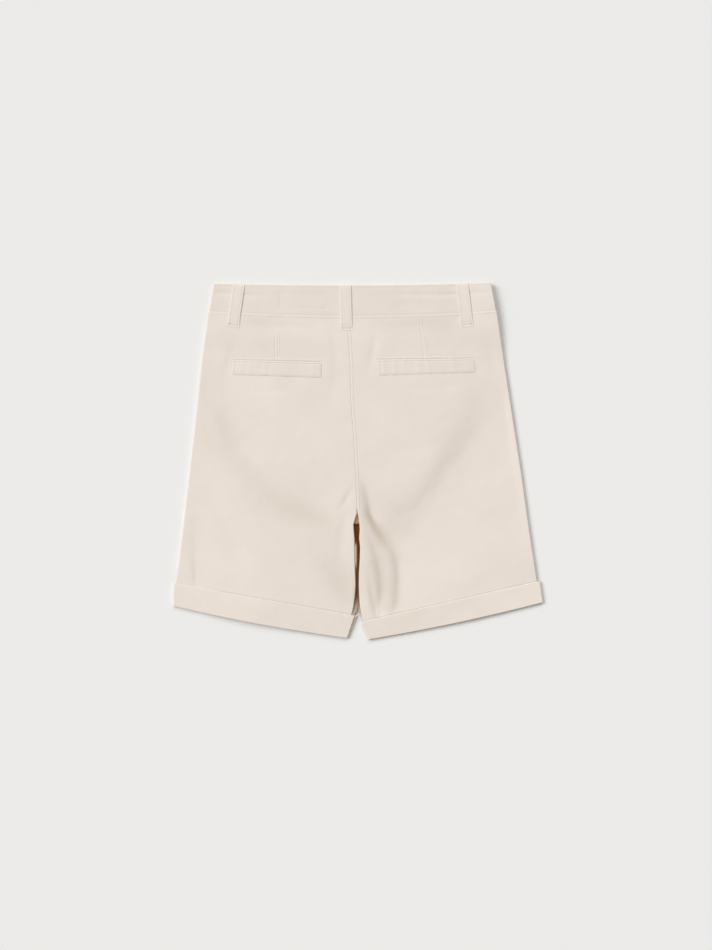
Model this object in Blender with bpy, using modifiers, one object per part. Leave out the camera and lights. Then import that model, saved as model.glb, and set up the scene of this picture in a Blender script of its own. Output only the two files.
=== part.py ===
"""Bermuda shorts in cotton twill with turned-up cuffs, laid flat with the back upwards.

Metres, +Z up. +Y runs from the hems to the waist and -X is the wearer's left. The cloth
lies in two sheets: the fronts below, flat on the ground, and the backs above. Both roll
round the side seams and the inseams and meet there half way up. The tables are in
millimetres, measured from the middle of the laid-out garment.
"""

from collections import namedtuple
from math import cos, exp, hypot, pi, radians, sin

import bmesh
import bpy
from mathutils import Vector

MM = 0.001
SEAM_GAP = 0.3
# How far a rolled edge stops short of its seam, for each millimetre of its thickness.
EDGE_SHORT = 0.17

# Cloth thicknesses: one ply of twill, and the made-up pieces of several plies.
PLY = 1.0
WAISTBAND_PLY = 1.4
CUFF_PLY = 1.6
LOOP_PLY = 1.0

# Sizes of what is sewn on.
WAIST_SAG = 4.3
WAIST_SEAM_SAG = 5.3
CUFF_DEPTH = 24.0
CUFF_OVERHANG = 2.6
CUFF_LIP = 2.4
LOOP_WIDTH = 13.0
LOOP_ARCH = 0.7
LOOP_TAIL = 16.0
WELT_DEPTH = 16.5
FLY_LAP = 12.0
UNDERLAP = 30.0
BUTTON_RADIUS = 7.0
BUTTON_THICKNESS = 1.8
BUTTON_HOLE_RADIUS = 0.9

# Heights of the middle of each ply over the ground, away from the edges.
FRONT_HEIGHT = 0.5 * PLY
BACK_HEIGHT = 4.1
FRONT_AT_WAIST = 2.0
BACK_AT_WAIST = 5.0
FRONT_AT_CUFF = 2.4
BACK_AT_CUFF = 4.6
WAISTBAND_FRONT_HEIGHT = 2.0
WAISTBAND_BACK_HEIGHT = 5.5
UNDERLAP_RISE = 1.7
BUTTON_BUMP = 0.8
BUTTON_BUMP_REACH = 34.0
CUFF_FRONT_HEIGHT = 0.5 * CUFF_PLY
CUFF_BACK_HEIGHT = 6.2

# Columns of a sheet: steps round each rolled edge, and steps across the flat.
ROLL_STEPS = 3
BACK_COLUMNS = 13
BACK_ROWS_PER_SECTION = 2
FRONT_COLUMNS = 5
FRONT_ROWS_PER_SECTION = 2

# Where the sheets start to roll down towards the crotch, in sections.
CROTCH_SECTION = 5
ROLL_STARTS = 4.4
# How far the sheets take to come down from the waistband and up to the cuffs, in sections.
WAIST_SLOPE = 1.2
CUFF_SLOPE = 0.8

# One row for each section across a half of the garment: the point on the side seam, and
# the point on the centre seam or, below the crotch, on the inseam.
Section = namedtuple("Section", "name side_x side_y inner_x inner_y")
SECTIONS = {
    "left": (
        Section("waist seam", -161.8, 162.6, -12.3, 157.5),
        Section("pocket", -168.4, 117.0, -8.8, 112.0),
        Section("hip", -173.2, 73.0, -7.4, 66.0),
        Section("seat", -177.8, 30.0, -4.2, 20.0),
        Section("rise", -182.3, -8.0, -2.0, -22.0),
        Section("crotch", -185.7, -37.0, -0.8, -56.0),
        Section("thigh", -189.1, -66.0, -1.7, -88.0),
        Section("mid leg", -192.6, -94.0, -1.4, -120.0),
        Section("low leg", -195.2, -115.0, -2.0, -146.0),
        Section("cuff top", -197.2, -131.0, -5.6, -164.0),
        Section("turn-up", -198.0, -154.4, -14.2, -188.0),
    ),
    "right": (
        Section("waist seam", 150.3, 163.0, -12.3, 157.5),
        Section("pocket", 157.3, 117.0, -8.8, 112.0),
        Section("hip", 164.0, 73.0, -7.4, 66.0),
        Section("seat", 170.7, 30.0, -4.2, 20.0),
        Section("rise", 176.6, -8.0, -2.0, -22.0),
        Section("crotch", 180.7, -37.0, -0.8, -56.0),
        Section("thigh", 184.7, -66.0, -0.3, -90.0),
        Section("mid leg", 188.8, -94.0, -0.6, -124.0),
        Section("low leg", 191.9, -113.5, 0.6, -151.0),
        Section("cuff top", 194.0, -128.0, 4.8, -170.0),
        Section("turn-up", 197.9, -149.6, 13.8, -189.4),
    ),
}
# The cuffs' own corners, outside the legs that they are turned up from.
CuffEdge = namedtuple("CuffEdge", "side_x side_y inner_x inner_y")
CUFFS = {
    "left": (
        CuffEdge(-199.9, -132.0, -3.4, -167.0),
        CuffEdge(-200.5, -156.8, -11.6, -191.6),
    ),
    "right": (
        CuffEdge(197.3, -129.6, 3.9, -173.6),
        CuffEdge(200.62, -152.2, 11.3, -192.7),
    ),
}
# The waistband's two side ends, at its top edge and at the waist seam.
Corner = namedtuple("Corner", "x y")
WAIST_TOP = (Corner(-156.3, 192.45), Corner(143.7, 192.2))
WAIST_SEAM = (Corner(-161.8, 162.6), Corner(150.3, 163.0))
CENTRE_FRONT_X = -14.0

# The largest folds of the upper sheet: a trough along a line of points, with its depth,
# and how far it reaches on the left and on the right of that line.
Fold = namedtuple("Fold", "name depth left_reach right_reach points")
FOLDS = (
    Fold("seat right", 1.0, 22, 12, ((152, 66), (116, 34), (89, -4), (67, -33), (30, -70))),
    Fold("seat left", 0.8, 12, 24, ((-168, 66), (-144, 27), (-101, -33), (-60, -59), (-25, -68))),
    Fold("crotch outer", 1.3, 6, 11, ((2, -20), (8, -42), (21, -71), (41, -104), (41, -158))),
    Fold("crotch inner", 1.0, 6, 8, ((5, -66), (11, -87), (24, -126), (23, -152))),
    Fold("inner leg left", 0.7, 14, 12, ((-68, -74), (-46, -98), (-25, -123), (-19, -147))),
)
EDGE_FADE = 14.0

# Welts: the ends of the upper edge, and how far the lower edge leans out at each end.
Welt = namedtuple("Welt", "start_x start_y end_x end_y lean")
WELTS = {
    "left": Welt(-135.0, 111.6, -40.5, 108.4, -0.8),
    "right": Welt(21.8, 110.6, 125.6, 114.0, 1.6),
}
# Belt loops: the middle of the top and of the bottom end.
Loop = namedtuple("Loop", "sheet top_x bottom_x")
LOOPS = {
    "loop_back_left": Loop("back", -127.5, -134.5),
    "loop_back_centre": Loop("back", -13.4, -12.6),
    "loop_back_right": Loop("back", 113.5, 118.5),
    "loop_front_left": Loop("front", -84.0, -88.0),
    "loop_front_right": Loop("front", 62.0, 66.0),
}
# Side pockets in the fronts: how far in from the side the mouth leaves the waist seam, how
# many rows down it ends, and how far in it is there.
MOUTH_AT_WAIST = 38.0
MOUTH_ROWS = 5
MOUTH_END_INSET = 7.0

# Cream cotton twill, a little darker or lighter from piece to piece, and a horn-like resin.
COLOURS = {
    "twill_legs": (0.78, 0.71, 0.64, 1.0),
    "twill_waistband": (0.77, 0.69, 0.62, 1.0),
    "twill_welts": (0.79, 0.72, 0.65, 1.0),
    "twill_turn_ups": (0.79, 0.71, 0.63, 1.0),
    "twill_loops": (0.78, 0.70, 0.63, 1.0),
    "button_resin": (0.62, 0.52, 0.42, 1.0),
}


# ---------------------------------------------------------------- general helpers


def clear_scene():
    for obj in list(bpy.data.objects):
        bpy.data.objects.remove(obj, do_unlink=True)


def collection(name):
    made = bpy.data.collections.new(name)
    bpy.context.scene.collection.children.link(made)
    return made


def material(name, roughness=0.9):
    made = bpy.data.materials.new(name)
    made.use_nodes = True
    shader = made.node_tree.nodes["Principled BSDF"]
    shader.inputs["Base Color"].default_value = COLOURS[name]
    shader.inputs["Roughness"].default_value = roughness
    shader.inputs["Metallic"].default_value = 0.0
    made.diffuse_color = COLOURS[name]
    return made


def mix(a, b, t):
    return a + (b - a) * t


def smooth(t):
    t = min(1.0, max(0.0, t))
    return t * t * (3.0 - 2.0 * t)


def catmull(a, b, c, d, t):
    """The curve through b and c, with a and d before and after them."""
    return 0.5 * (
        2.0 * b
        + (c - a) * t
        + (2.0 * a - 5.0 * b + 4.0 * c - d) * t * t
        + (3.0 * b - a - 3.0 * c + d) * t * t * t
    )


def along(values, place):
    """The smooth curve through evenly numbered values, at a place between them."""
    last = len(values) - 1
    start = min(last - 1, max(0, int(place)))
    before = values[start - 1] if start > 0 else 2.0 * values[0] - values[1]
    after = values[start + 2] if start + 2 <= last else 2.0 * values[last] - values[last - 1]
    return catmull(before, values[start], values[start + 1], after, place - start)


def cloth(name, grid, thickness, surface, home, parent, notch=(0, 0)):
    """A sheet of cloth: a grid of points through its middle, thickened both ways.

    A notch is so many rows and columns of its first corner that are cut away.
    """
    rows, columns = len(grid), len(grid[0])
    shape = bmesh.new()
    bmesh.ops.create_grid(shape, x_segments=columns - 1, y_segments=rows - 1, size=0.5)
    cut_away = []
    for face in shape.faces:
        centre = face.calc_center_median()
        row, column = (centre.y + 0.5) * (rows - 1), (centre.x + 0.5) * (columns - 1)
        if row < notch[0] and column < notch[1]:
            cut_away.append(face)
    bmesh.ops.delete(shape, geom=cut_away, context="FACES")
    for vertex in shape.verts:
        column = round((vertex.co.x + 0.5) * (columns - 1))
        row = round((vertex.co.y + 0.5) * (rows - 1))
        vertex.co = grid[row][column] * MM
    mesh = bpy.data.meshes.new(name)
    shape.to_mesh(mesh)
    shape.free()
    mesh.materials.append(surface)
    mesh.shade_smooth()
    obj = bpy.data.objects.new(name, mesh)
    home.objects.link(obj)
    obj.parent = parent
    wall = obj.modifiers.new("Cloth", "SOLIDIFY")
    wall.thickness = thickness * MM
    wall.offset = 0.0
    wall.use_even_offset = True
    return obj


# ---------------------------------------------------------------- the form of the legs


def edges_at(half, place):
    """The side and inner points of a half at a place along its sections."""
    table = SECTIONS[half]
    side = Vector((along([s.side_x for s in table], place), along([s.side_y for s in table], place)))
    if place <= CROTCH_SECTION:
        table = table[: CROTCH_SECTION + 1]
        start = 0
    else:
        table = table[CROTCH_SECTION:]
        start = CROTCH_SECTION
    xs, ys = [s.inner_x for s in table], [s.inner_y for s in table]
    return side, Vector((along(xs, place - start), along(ys, place - start)))


def distance_to(points, x, y):
    """How far a point is from a line of points, signed plus on its left, and how far along."""
    best = None
    for number, (a, b) in enumerate(zip(points, points[1:])):
        run = Vector(b) - Vector(a)
        offset = Vector((x, y)) - Vector(a)
        t = min(1.0, max(0.0, offset.dot(run) / run.length_squared))
        away = (offset - run * t).length
        side = 1.0 if run.x * offset.y - run.y * offset.x >= 0 else -1.0
        if best is None or away < abs(best[0]):
            best = (side * away, (number + t) / (len(points) - 1))
    return best


def fold_depth(x, y):
    """How far the largest folds take the upper sheet down at a point."""
    total = 0.0
    for fold in FOLDS:
        away, share = distance_to(fold.points, x, y)
        reach = fold.left_reach if away > 0 else fold.right_reach
        total += fold.depth * exp(-((away / reach) ** 2)) * smooth(4.0 * min(share, 1.0 - share) + 0.2)
    return total


def heights_at(place):
    """The middle of the back and front plies, and the level where they meet."""
    sections = len(SECTIONS["left"]) - 1
    waist = 1.0 - smooth(place / WAIST_SLOPE)
    cuff = smooth((place - (sections - 1 - CUFF_SLOPE)) / CUFF_SLOPE)
    back = BACK_HEIGHT + (BACK_AT_WAIST - BACK_HEIGHT) * waist + (BACK_AT_CUFF - BACK_HEIGHT) * cuff
    front = FRONT_HEIGHT + (FRONT_AT_WAIST - FRONT_HEIGHT) * waist + (FRONT_AT_CUFF - FRONT_HEIGHT) * cuff
    return back, front, 0.5 * (back + front)


def inner_roll(place):
    """0 where the halves are sewn together at the centre, 1 where each leg rolls round."""
    return smooth((place - ROLL_STARTS) / (CROTCH_SECTION - ROLL_STARTS))


def roll(step, radius):
    """A step of a quarter circle: the distance in from the edge, and the share of the height."""
    angle = 0.5 * pi * step / ROLL_STEPS
    return radius * (1.0 - cos(angle)), sin(angle)


def seam_level(middle, sheet, thickness):
    """The height where a rolled edge of a sheet stops, just short of the other sheet."""
    short = 0.5 * SEAM_GAP + EDGE_SHORT * thickness
    return middle + short if sheet == "back" else middle - short


def waist_dip(place, x):
    """How far the waist seam's dip takes a row down."""
    seam_y = waist_line(WAIST_SEAM, WAIST_SEAM_SAG, x)
    side, inner = edges_at("left" if x < SECTIONS["left"][0].inner_x else "right", 0.0)
    chord = mix(side.y, inner.y, (x - side.x) / (inner.x - side.x))
    return (chord - seam_y + SEAM_GAP) * (1.0 - smooth(place / 1.5))


def row_of(half, sheet, place, columns, mark=None):
    """One row of a panel, from its side edge to its inner edge.

    A mark is the distance from the side of one extra column, before the even ones.
    """
    back, front, middle = heights_at(place)
    level = back if sheet == "back" else front
    seam = seam_level(middle, sheet, PLY)
    side, inner = edges_at(half, place)
    across = (inner - side).normalized()
    width = (inner - side).length
    radius = abs(level - seam)
    inner_share = inner_roll(place)
    start = 0.5 * PLY
    end = width - 0.5 * SEAM_GAP - 0.5 * PLY * min(1.0, 8.0 * inner_share)
    points = []
    for column in range(ROLL_STEPS):
        step, height = roll(column, radius)
        points.append((start + step, mix(seam, level, height)))
    first, last = start + radius, end - radius
    if mark is not None:
        points.append((first, level))
        first = mark
    for column in range(columns + 1):
        points.append((mix(first, last, column / columns), level))
    for column in reversed(range(ROLL_STEPS)):
        step, height = roll(column, radius)
        points.append((end - step, mix(level, mix(seam, level, height), inner_share)))
    row = []
    for distance, height in points:
        spot = side + across * distance
        spot.y -= waist_dip(place, spot.x)
        if sheet == "back":
            fade = smooth(distance / EDGE_FADE)
            fade *= mix(1.0, smooth((width - distance) / EDGE_FADE), inner_share)
            height -= fold_depth(spot.x, spot.y) * fade * edge_calm(place)
        row.append(Vector((spot.x, spot.y, height)))
    return row


def edge_calm(place):
    """Folds die out where the waistband and the cuffs hold the cloth."""
    sections = len(SECTIONS["left"]) - 1
    return smooth(place / 0.6) * smooth((sections - 1 - place) / 0.5)


def places(per_section):
    sections = len(SECTIONS["left"]) - 1
    steps = round(sections * per_section)
    return [sections * step / steps for step in range(steps + 1)]


def back_panel(half, surface, home, parent):
    rows = [row_of(half, "back", place, BACK_COLUMNS) for place in places(BACK_ROWS_PER_SECTION)]
    return cloth(f"back_{half}", rows, PLY, surface, home, parent)


def front_panel(half, surface, home, parent):
    """The front, cut away along the slanting mouth of the side pocket."""
    rows = []
    for number, place in enumerate(places(FRONT_ROWS_PER_SECTION)):
        mouth = mix(MOUTH_AT_WAIST, MOUTH_END_INSET, min(1.0, number / MOUTH_ROWS))
        rows.append(row_of(half, "front", place, FRONT_COLUMNS, mouth))
    notch = (MOUTH_ROWS, ROLL_STEPS + 1)
    return cloth(f"front_{half}", rows, PLY, surface, home, parent, notch)


def side_pocket(half, surface, home, parent):
    """The side piece that shows in the pocket mouth, from the side seam to the mouth."""
    rows = []
    for number, place in enumerate(places(FRONT_ROWS_PER_SECTION)[: MOUTH_ROWS + 1]):
        if number == MOUTH_ROWS:
            place -= 2.0 * SEAM_GAP / 40.0
        mouth = mix(MOUTH_AT_WAIST, MOUTH_END_INSET, number / MOUTH_ROWS) - SEAM_GAP
        rows.append(row_of(half, "front", place, 1, mouth)[: ROLL_STEPS + 2])
    return cloth(f"side_pocket_{half}", rows, PLY, surface, home, parent)


# ---------------------------------------------------------------- the waistband


def waist_line(corners, sag, x):
    """The height up the garment of a waist edge: it dips by the sag in the middle."""
    left, right = corners
    t = (x - left.x) / (right.x - left.x)
    return mix(left.y, right.y, t) - sag * 4.0 * t * (1.0 - t)


def button_bump(x):
    return BUTTON_BUMP * smooth(1.0 - abs(x - CENTRE_FRONT_X) / BUTTON_BUMP_REACH)


def band_point(x_share, up, height):
    """A point of the waistband: a share of the way across, and from the seam to the top."""
    seam_x = mix(WAIST_SEAM[0].x, WAIST_SEAM[1].x, x_share)
    top_x = mix(WAIST_TOP[0].x, WAIST_TOP[1].x, x_share)
    x = mix(seam_x, top_x, up)
    seam_y = waist_line(WAIST_SEAM, WAIST_SEAM_SAG, seam_x)
    top_y = waist_line(WAIST_TOP, WAIST_SAG, top_x)
    return Vector((x, mix(seam_y, top_y, up), height))


def band_columns(first, last, steps, rolls, radius):
    """Distances along the band, with the roll at its side ends, and the roll's height share."""
    columns = []
    start = first + (0.5 * WAISTBAND_PLY if "first" in rolls else 0.0)
    end = last - (0.5 * WAISTBAND_PLY if "last" in rolls else 0.0)
    if "first" in rolls:
        for column in range(ROLL_STEPS):
            step, share = roll(column, radius)
            columns.append((start + step, share))
        start += radius
    tail = []
    if "last" in rolls:
        for column in reversed(range(ROLL_STEPS)):
            step, share = roll(column, radius)
            tail.append((end - step, share))
        end -= radius
    for column in range(steps + 1):
        columns.append((mix(start, end, column / steps), 1.0))
    return columns + tail


def band(name, sheet, first, last, steps, rolls, surface, home, parent, lap=0.0):
    """A stretch of waistband. Distances run along it from the wearer's left side."""
    length = WAIST_SEAM[1].x - WAIST_SEAM[0].x
    middle = 0.5 * (WAISTBAND_FRONT_HEIGHT + WAISTBAND_BACK_HEIGHT)
    base = WAISTBAND_BACK_HEIGHT if sheet == "back" else WAISTBAND_FRONT_HEIGHT
    seam = seam_level(middle, sheet, WAISTBAND_PLY)
    rows = []
    for up in (0.0, 0.33, 0.67, 1.0):
        row = []
        for distance, share in band_columns(first, last, steps, rolls, abs(base - seam)):
            x = WAIST_SEAM[0].x + distance
            level = base + button_bump(x)
            if lap:
                level += UNDERLAP_RISE * smooth((lap - distance) / (1.6 * WAISTBAND_PLY + 4.0))
            row.append(band_point(distance / length, up, mix(seam, level, share)))
        rows.append(row)
    return cloth(name, rows, WAISTBAND_PLY, surface, home, parent)


def waistband(surface, home, parent):
    length = WAIST_SEAM[1].x - WAIST_SEAM[0].x
    closing = CENTRE_FRONT_X - WAIST_SEAM[0].x + FLY_LAP
    band("waistband_back", "back", 0.0, length, 20, ("first", "last"), surface, home, parent)
    band("waistband_front_left", "front", 0.0, closing, 10, ("first",), surface, home, parent)
    band(
        "waistband_front_right",
        "front",
        closing - UNDERLAP,
        length,
        18,
        ("last",),
        surface,
        home,
        parent,
        lap=closing + 10.0,
    )


# ---------------------------------------------------------------- cuffs


def cuff(half, sheet, surface, home, parent):
    """Half of a turn-up: a band round the leg, whose lower edge turns in under the leg."""
    top, bottom = CUFFS[half]
    outside = CUFF_BACK_HEIGHT if sheet == "back" else CUFF_FRONT_HEIGHT
    middle = 0.5 * (CUFF_BACK_HEIGHT + CUFF_FRONT_HEIGHT)
    seam = seam_level(middle, sheet, CUFF_PLY)
    leg = BACK_AT_CUFF if sheet == "back" else FRONT_AT_CUFF
    radius = abs(outside - seam)
    lip = abs(outside - leg)
    rows = []
    depth = hypot(top.side_x - bottom.side_x, top.side_y - bottom.side_y)
    shares = [(0.0, 1.0), (0.35, 1.0), (0.7, 1.0)]
    for step in reversed(range(ROLL_STEPS)):
        distance, height = roll(step, lip)
        shares.append((1.0 - (distance + 0.5 * CUFF_PLY) / depth, height))
    shares.insert(3, (1.0 - (lip + 0.5 * CUFF_PLY) / depth, 1.0))
    for down, lip_share in shares:
        side = Vector((mix(top.side_x, bottom.side_x, down), mix(top.side_y, bottom.side_y, down)))
        inner = Vector((mix(top.inner_x, bottom.inner_x, down), mix(top.inner_y, bottom.inner_y, down)))
        across = (inner - side).normalized()
        width = (inner - side).length
        level = mix(leg, outside, lip_share)
        columns = []
        for column in range(ROLL_STEPS):
            distance, height = roll(column, radius)
            columns.append((0.5 * CUFF_PLY + distance, height))
        edge = 0.5 * CUFF_PLY + radius
        for column in range(7):
            columns.append((mix(edge, width - edge, column / 6), 1.0))
        for column in reversed(range(ROLL_STEPS)):
            distance, height = roll(column, radius)
            columns.append((width - 0.5 * CUFF_PLY - distance, height))
        row = []
        for distance, height in columns:
            spot = side + across * distance
            row.append(Vector((spot.x, spot.y, mix(seam, level, height))))
        rows.append(row)
    return cloth(f"cuff_{sheet}_{half}", rows, CUFF_PLY, surface, home, parent)


# ---------------------------------------------------------------- welts and loops


def upper_sheet_height(x, y):
    """The middle of the upper sheet near the waist, where the welts and loops lie."""
    half = "left" if x < CENTRE_FRONT_X + 2.0 else "right"
    best = None
    for step in range(0, 41):
        place = 0.05 * step
        side, inner = edges_at(half, place)
        t = (x - side.x) / (inner.x - side.x)
        away = abs(mix(side.y, inner.y, t) - y)
        if best is None or away < best[0]:
            best = (away, place)
    return heights_at(best[1])[0] - fold_depth(x, y) * edge_calm(best[1])


def welt(half, surface, home, parent):
    """The welt of a back pocket, lying on the panel."""
    size = WELTS[half]
    clear = 0.5 * PLY + SEAM_GAP + 0.5 * PLY
    along_welt = Vector((size.end_x - size.start_x, size.end_y - size.start_y)).normalized()
    down_welt = Vector((along_welt.y, -along_welt.x))
    rows = []
    for down in (0.0, 0.5, 1.0):
        row = []
        for step in range(9):
            t = step / 8
            lean = mix(min(0.0, size.lean), max(0.0, size.lean), t) * down
            x = mix(size.start_x, size.end_x, t) + down_welt.x * WELT_DEPTH * down + lean
            y = mix(size.start_y, size.end_y, t) + down_welt.y * WELT_DEPTH * down
            row.append(Vector((x, y, upper_sheet_height(x, y) + clear)))
        rows.append(row)
    return cloth(f"welt_{half}", rows, PLY, surface, home, parent)


def belt_loop(name, surface, home, parent):
    """A belt loop, from the top edge of the waistband to just below its seam."""
    loop = LOOPS[name]
    back = loop.sheet == "back"
    rows = []
    steps = 8
    for step in range(steps + 1):
        t = step / steps
        x = mix(loop.top_x, loop.bottom_x, t)
        top = waist_line(WAIST_TOP, WAIST_SAG, loop.top_x) + (1.0 if back else 0.0)
        bottom = waist_line(WAIST_SEAM, WAIST_SEAM_SAG, loop.bottom_x) - LOOP_TAIL
        y = mix(top, bottom, t)
        if back:
            band_top = WAISTBAND_BACK_HEIGHT + button_bump(x) + 0.5 * WAISTBAND_PLY
            panel_top = upper_sheet_height(x, y) + 0.5 * PLY
            seam_y = waist_line(WAIST_SEAM, WAIST_SEAM_SAG, x)
            under = mix(panel_top, band_top, smooth((y - seam_y + 6.0) / 5.0))
            height = under + SEAM_GAP + 0.5 * LOOP_PLY + LOOP_ARCH * sin(pi * t)
        else:
            height = 0.5 * LOOP_PLY
        row = [Vector((x + 0.5 * LOOP_WIDTH * share, y, height)) for share in (-1.0, 0.0, 1.0)]
        rows.append(row)
    return cloth(name, rows, LOOP_PLY, surface, home, parent)


# ---------------------------------------------------------------- the button


def button(surface, home, cutters, parent):
    """A flat four-hole button on the lapped end of the front waistband."""
    centre_y = 0.5 * (
        waist_line(WAIST_TOP, WAIST_SAG, CENTRE_FRONT_X)
        + waist_line(WAIST_SEAM, WAIST_SEAM_SAG, CENTRE_FRONT_X)
    )
    bpy.ops.mesh.primitive_cylinder_add(
        vertices=24,
        radius=BUTTON_RADIUS * MM,
        depth=BUTTON_THICKNESS * MM,
        location=(0.0, 0.0, 0.0),
    )
    disc = bpy.context.active_object
    disc.name = "button"
    disc.data.materials.append(surface)
    for old in list(disc.users_collection):
        old.objects.unlink(disc)
    home.objects.link(disc)
    disc.parent = parent
    disc.location = Vector((CENTRE_FRONT_X, centre_y, 0.5 * BUTTON_THICKNESS)) * MM
    rim = disc.modifiers.new("Rim", "BEVEL")
    rim.width = 0.4 * MM
    rim.segments = 2
    rim.limit_method = "ANGLE"
    rim.angle_limit = radians(50)
    for number, (right, up) in enumerate(((-1, -1), (1, -1), (1, 1), (-1, 1))):
        bpy.ops.mesh.primitive_cylinder_add(
            vertices=8,
            radius=BUTTON_HOLE_RADIUS * MM,
            depth=3.0 * BUTTON_THICKNESS * MM,
        )
        hole = bpy.context.active_object
        hole.name = f"button_hole_{number}"
        for old in list(hole.users_collection):
            old.objects.unlink(hole)
        cutters.objects.link(hole)
        hole.hide_render = True
        hole.display_type = "WIRE"
        hole.parent = disc
        hole.location = Vector((right, up, 0.0)) * 1.7 * MM
        cut = disc.modifiers.new(f"Hole {number}", "BOOLEAN")
        cut.operation = "DIFFERENCE"
        cut.object = hole
    return disc


# ---------------------------------------------------------------- the whole garment


def build():
    clear_scene()
    home = collection("bermuda_shorts")
    cutters = collection("cutters")
    parent = bpy.data.objects.new("shorts", None)
    home.objects.link(parent)
    legs = material("twill_legs")
    waist = material("twill_waistband")
    welts = material("twill_welts")
    turn_ups = material("twill_turn_ups")
    loops = material("twill_loops")
    resin = material("button_resin", 0.35)
    for half in SECTIONS:
        back_panel(half, legs, home, parent)
        front_panel(half, legs, home, parent)
        side_pocket(half, legs, home, parent)
        welt(half, welts, home, parent)
        for sheet in ("back", "front"):
            cuff(half, sheet, turn_ups, home, parent)
    waistband(waist, home, parent)
    for name in LOOPS:
        belt_loop(name, loops, home, parent)
    button(resin, home, cutters, parent)


build()
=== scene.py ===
"""Bermuda shorts in cream cotton twill, laid flat on a pale floor with the back upwards.

Lengths in the tables are millimetres from the middle of the laid-out garment, which is also
where the frame has its origin. +Y is towards the waist and -X is the wearer's left.
"""

from collections import namedtuple
from math import cos, pi, radians, sin

import bpy
import numpy as np
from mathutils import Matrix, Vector


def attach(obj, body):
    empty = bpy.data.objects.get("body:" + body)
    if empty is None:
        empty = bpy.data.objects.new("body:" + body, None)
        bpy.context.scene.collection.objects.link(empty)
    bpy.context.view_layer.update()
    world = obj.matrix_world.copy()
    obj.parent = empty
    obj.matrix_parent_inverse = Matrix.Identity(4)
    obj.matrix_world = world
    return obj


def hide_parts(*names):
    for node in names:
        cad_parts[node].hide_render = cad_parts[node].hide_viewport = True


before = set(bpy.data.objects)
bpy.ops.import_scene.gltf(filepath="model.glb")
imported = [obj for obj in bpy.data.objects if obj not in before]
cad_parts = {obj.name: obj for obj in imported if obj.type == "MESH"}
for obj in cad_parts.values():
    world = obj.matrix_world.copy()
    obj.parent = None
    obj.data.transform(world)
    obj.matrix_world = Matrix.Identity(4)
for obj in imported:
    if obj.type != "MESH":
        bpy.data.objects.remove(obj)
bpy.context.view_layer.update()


# ---------------------------------------------------------------- the fronts
# Two front panels of single cream twill, cut on the straight grain, lying face down on the
# floor. They are sewn together down the centre to the crotch below a lapped fly, whose
# curved stitching shows on the wearer's left.

TWILL_RIB = 0.00072
TWILL_ANGLE = 27.0
CREAM = (0.842, 0.763, 0.690)
# How the dye drifts, as shares of the colour, and what the slubs shade it by; then the painted shade that
# darkens the creases.
DYE_DRIFT = ((0.30, (0.975, 0.970, 0.960)), (0.70, (1.012, 1.014, 1.018)))
SLUB_SHADE = (0.965, 0.96, 0.95, 1.0)
PAINTED_CREASE_SHADE = (0.80, 0.76, 0.71, 1.0)
# Painted shade between the legs: the colour goes tan to brown where shade falls deep in the gap. From a
# height to a depth in metres, the tints on the way down, near the crotch and further along, and where one
# takes over.
PAINTED_SHADE_HEIGHTS = (0.0048, 0.0012)
UPPER_GAP_PAINTED_SHADE = (
    (0.0, (1.0, 1.0, 1.0)), (1.0, (0.21, 0.070, 0.014)), (0.13, (0.88, 0.74, 0.57)),
    (0.40, (0.60, 0.42, 0.29)), (0.60, (0.25, 0.090, 0.022)))
LOWER_GAP_PAINTED_SHADE = (
    (0.0, (1.0, 1.0, 1.0)), (1.0, (0.24, 0.145, 0.08)), (0.15, (0.88, 0.76, 0.62)),
    (0.42, (0.52, 0.40, 0.29)), (0.60, (0.28, 0.17, 0.10)))
PAINTED_SHADE_CHANGE = (-0.088, -0.118)
# Where that painted shade shows: a measure, where it starts and is full, and the share kept outside.
PaintedShadeLimit = namedtuple("PaintedShadeLimit", "measure starts full outside")
PAINTED_SHADE_LIMITS = (
    PaintedShadeLimit("across", 0.0068, 0.0052, 0.0),
    PaintedShadeLimit("along", -0.055, -0.058, 0.0),
    PaintedShadeLimit("along", -0.170, -0.146, 0.3),
    PaintedShadeLimit("facing up", -0.35, -0.15, 0.0),
)


def fill(node, inputs):
    """Sets a node's inputs to plain values, or joins sockets to them."""
    for name, given in inputs.items():
        if isinstance(given, bpy.types.NodeSocket):
            node.id_data.links.new(given, node.inputs[name])
        else:
            node.inputs[name].default_value = given


def placed(nodes, kind, inputs=None, **settings):
    """A new shader node with its settings and its inputs."""
    made = nodes.new(f"ShaderNode{kind}")
    for name, setting in settings.items():
        setattr(made, name, setting)
    fill(made, inputs or {})
    return made


def worked(nodes, operation, *inputs):
    """The result of a Math node on plain numbers or sockets."""
    return placed(nodes, "Math", dict(enumerate(inputs)), operation=operation).outputs[0]


def ranged(nodes, measure, first, last, low=0.0, high=1.0):
    """A measure carried from one range to another, and held inside it."""
    inputs = {"Value": measure, "From Min": first, "From Max": last, "To Min": low, "To Max": high}
    return placed(nodes, "MapRange", inputs).outputs["Result"]


def noise(nodes, place, scale, **more):
    """A cloudy value, with its other inputs by name."""
    return placed(nodes, "TexNoise", {"Vector": place, "Scale": scale, **more}).outputs["Fac"]


def mixed(nodes, colour, other, share, how="MULTIPLY"):
    """A colour with another worked into it by a share."""
    inputs = {"A": colour, "B": other, "Factor": share}
    return placed(nodes, "Mix", inputs, data_type="RGBA", blend_type=how).outputs["Result"]


def shaded(nodes, measure, stops):
    """A colour that changes with a measure, from stops of a place and a colour."""
    ramp = placed(nodes, "ValToRGB", {"Fac": measure})
    for k, (at, shade) in enumerate(stops):
        stop = ramp.color_ramp.elements[k] if k < 2 else ramp.color_ramp.elements.new(at)
        stop.position = at
        stop.color = (*shade, 1.0)
    return ramp.outputs["Color"]


def tinted(colour, *shares):
    return tuple(part * share for part, share in zip(colour, shares))


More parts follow.
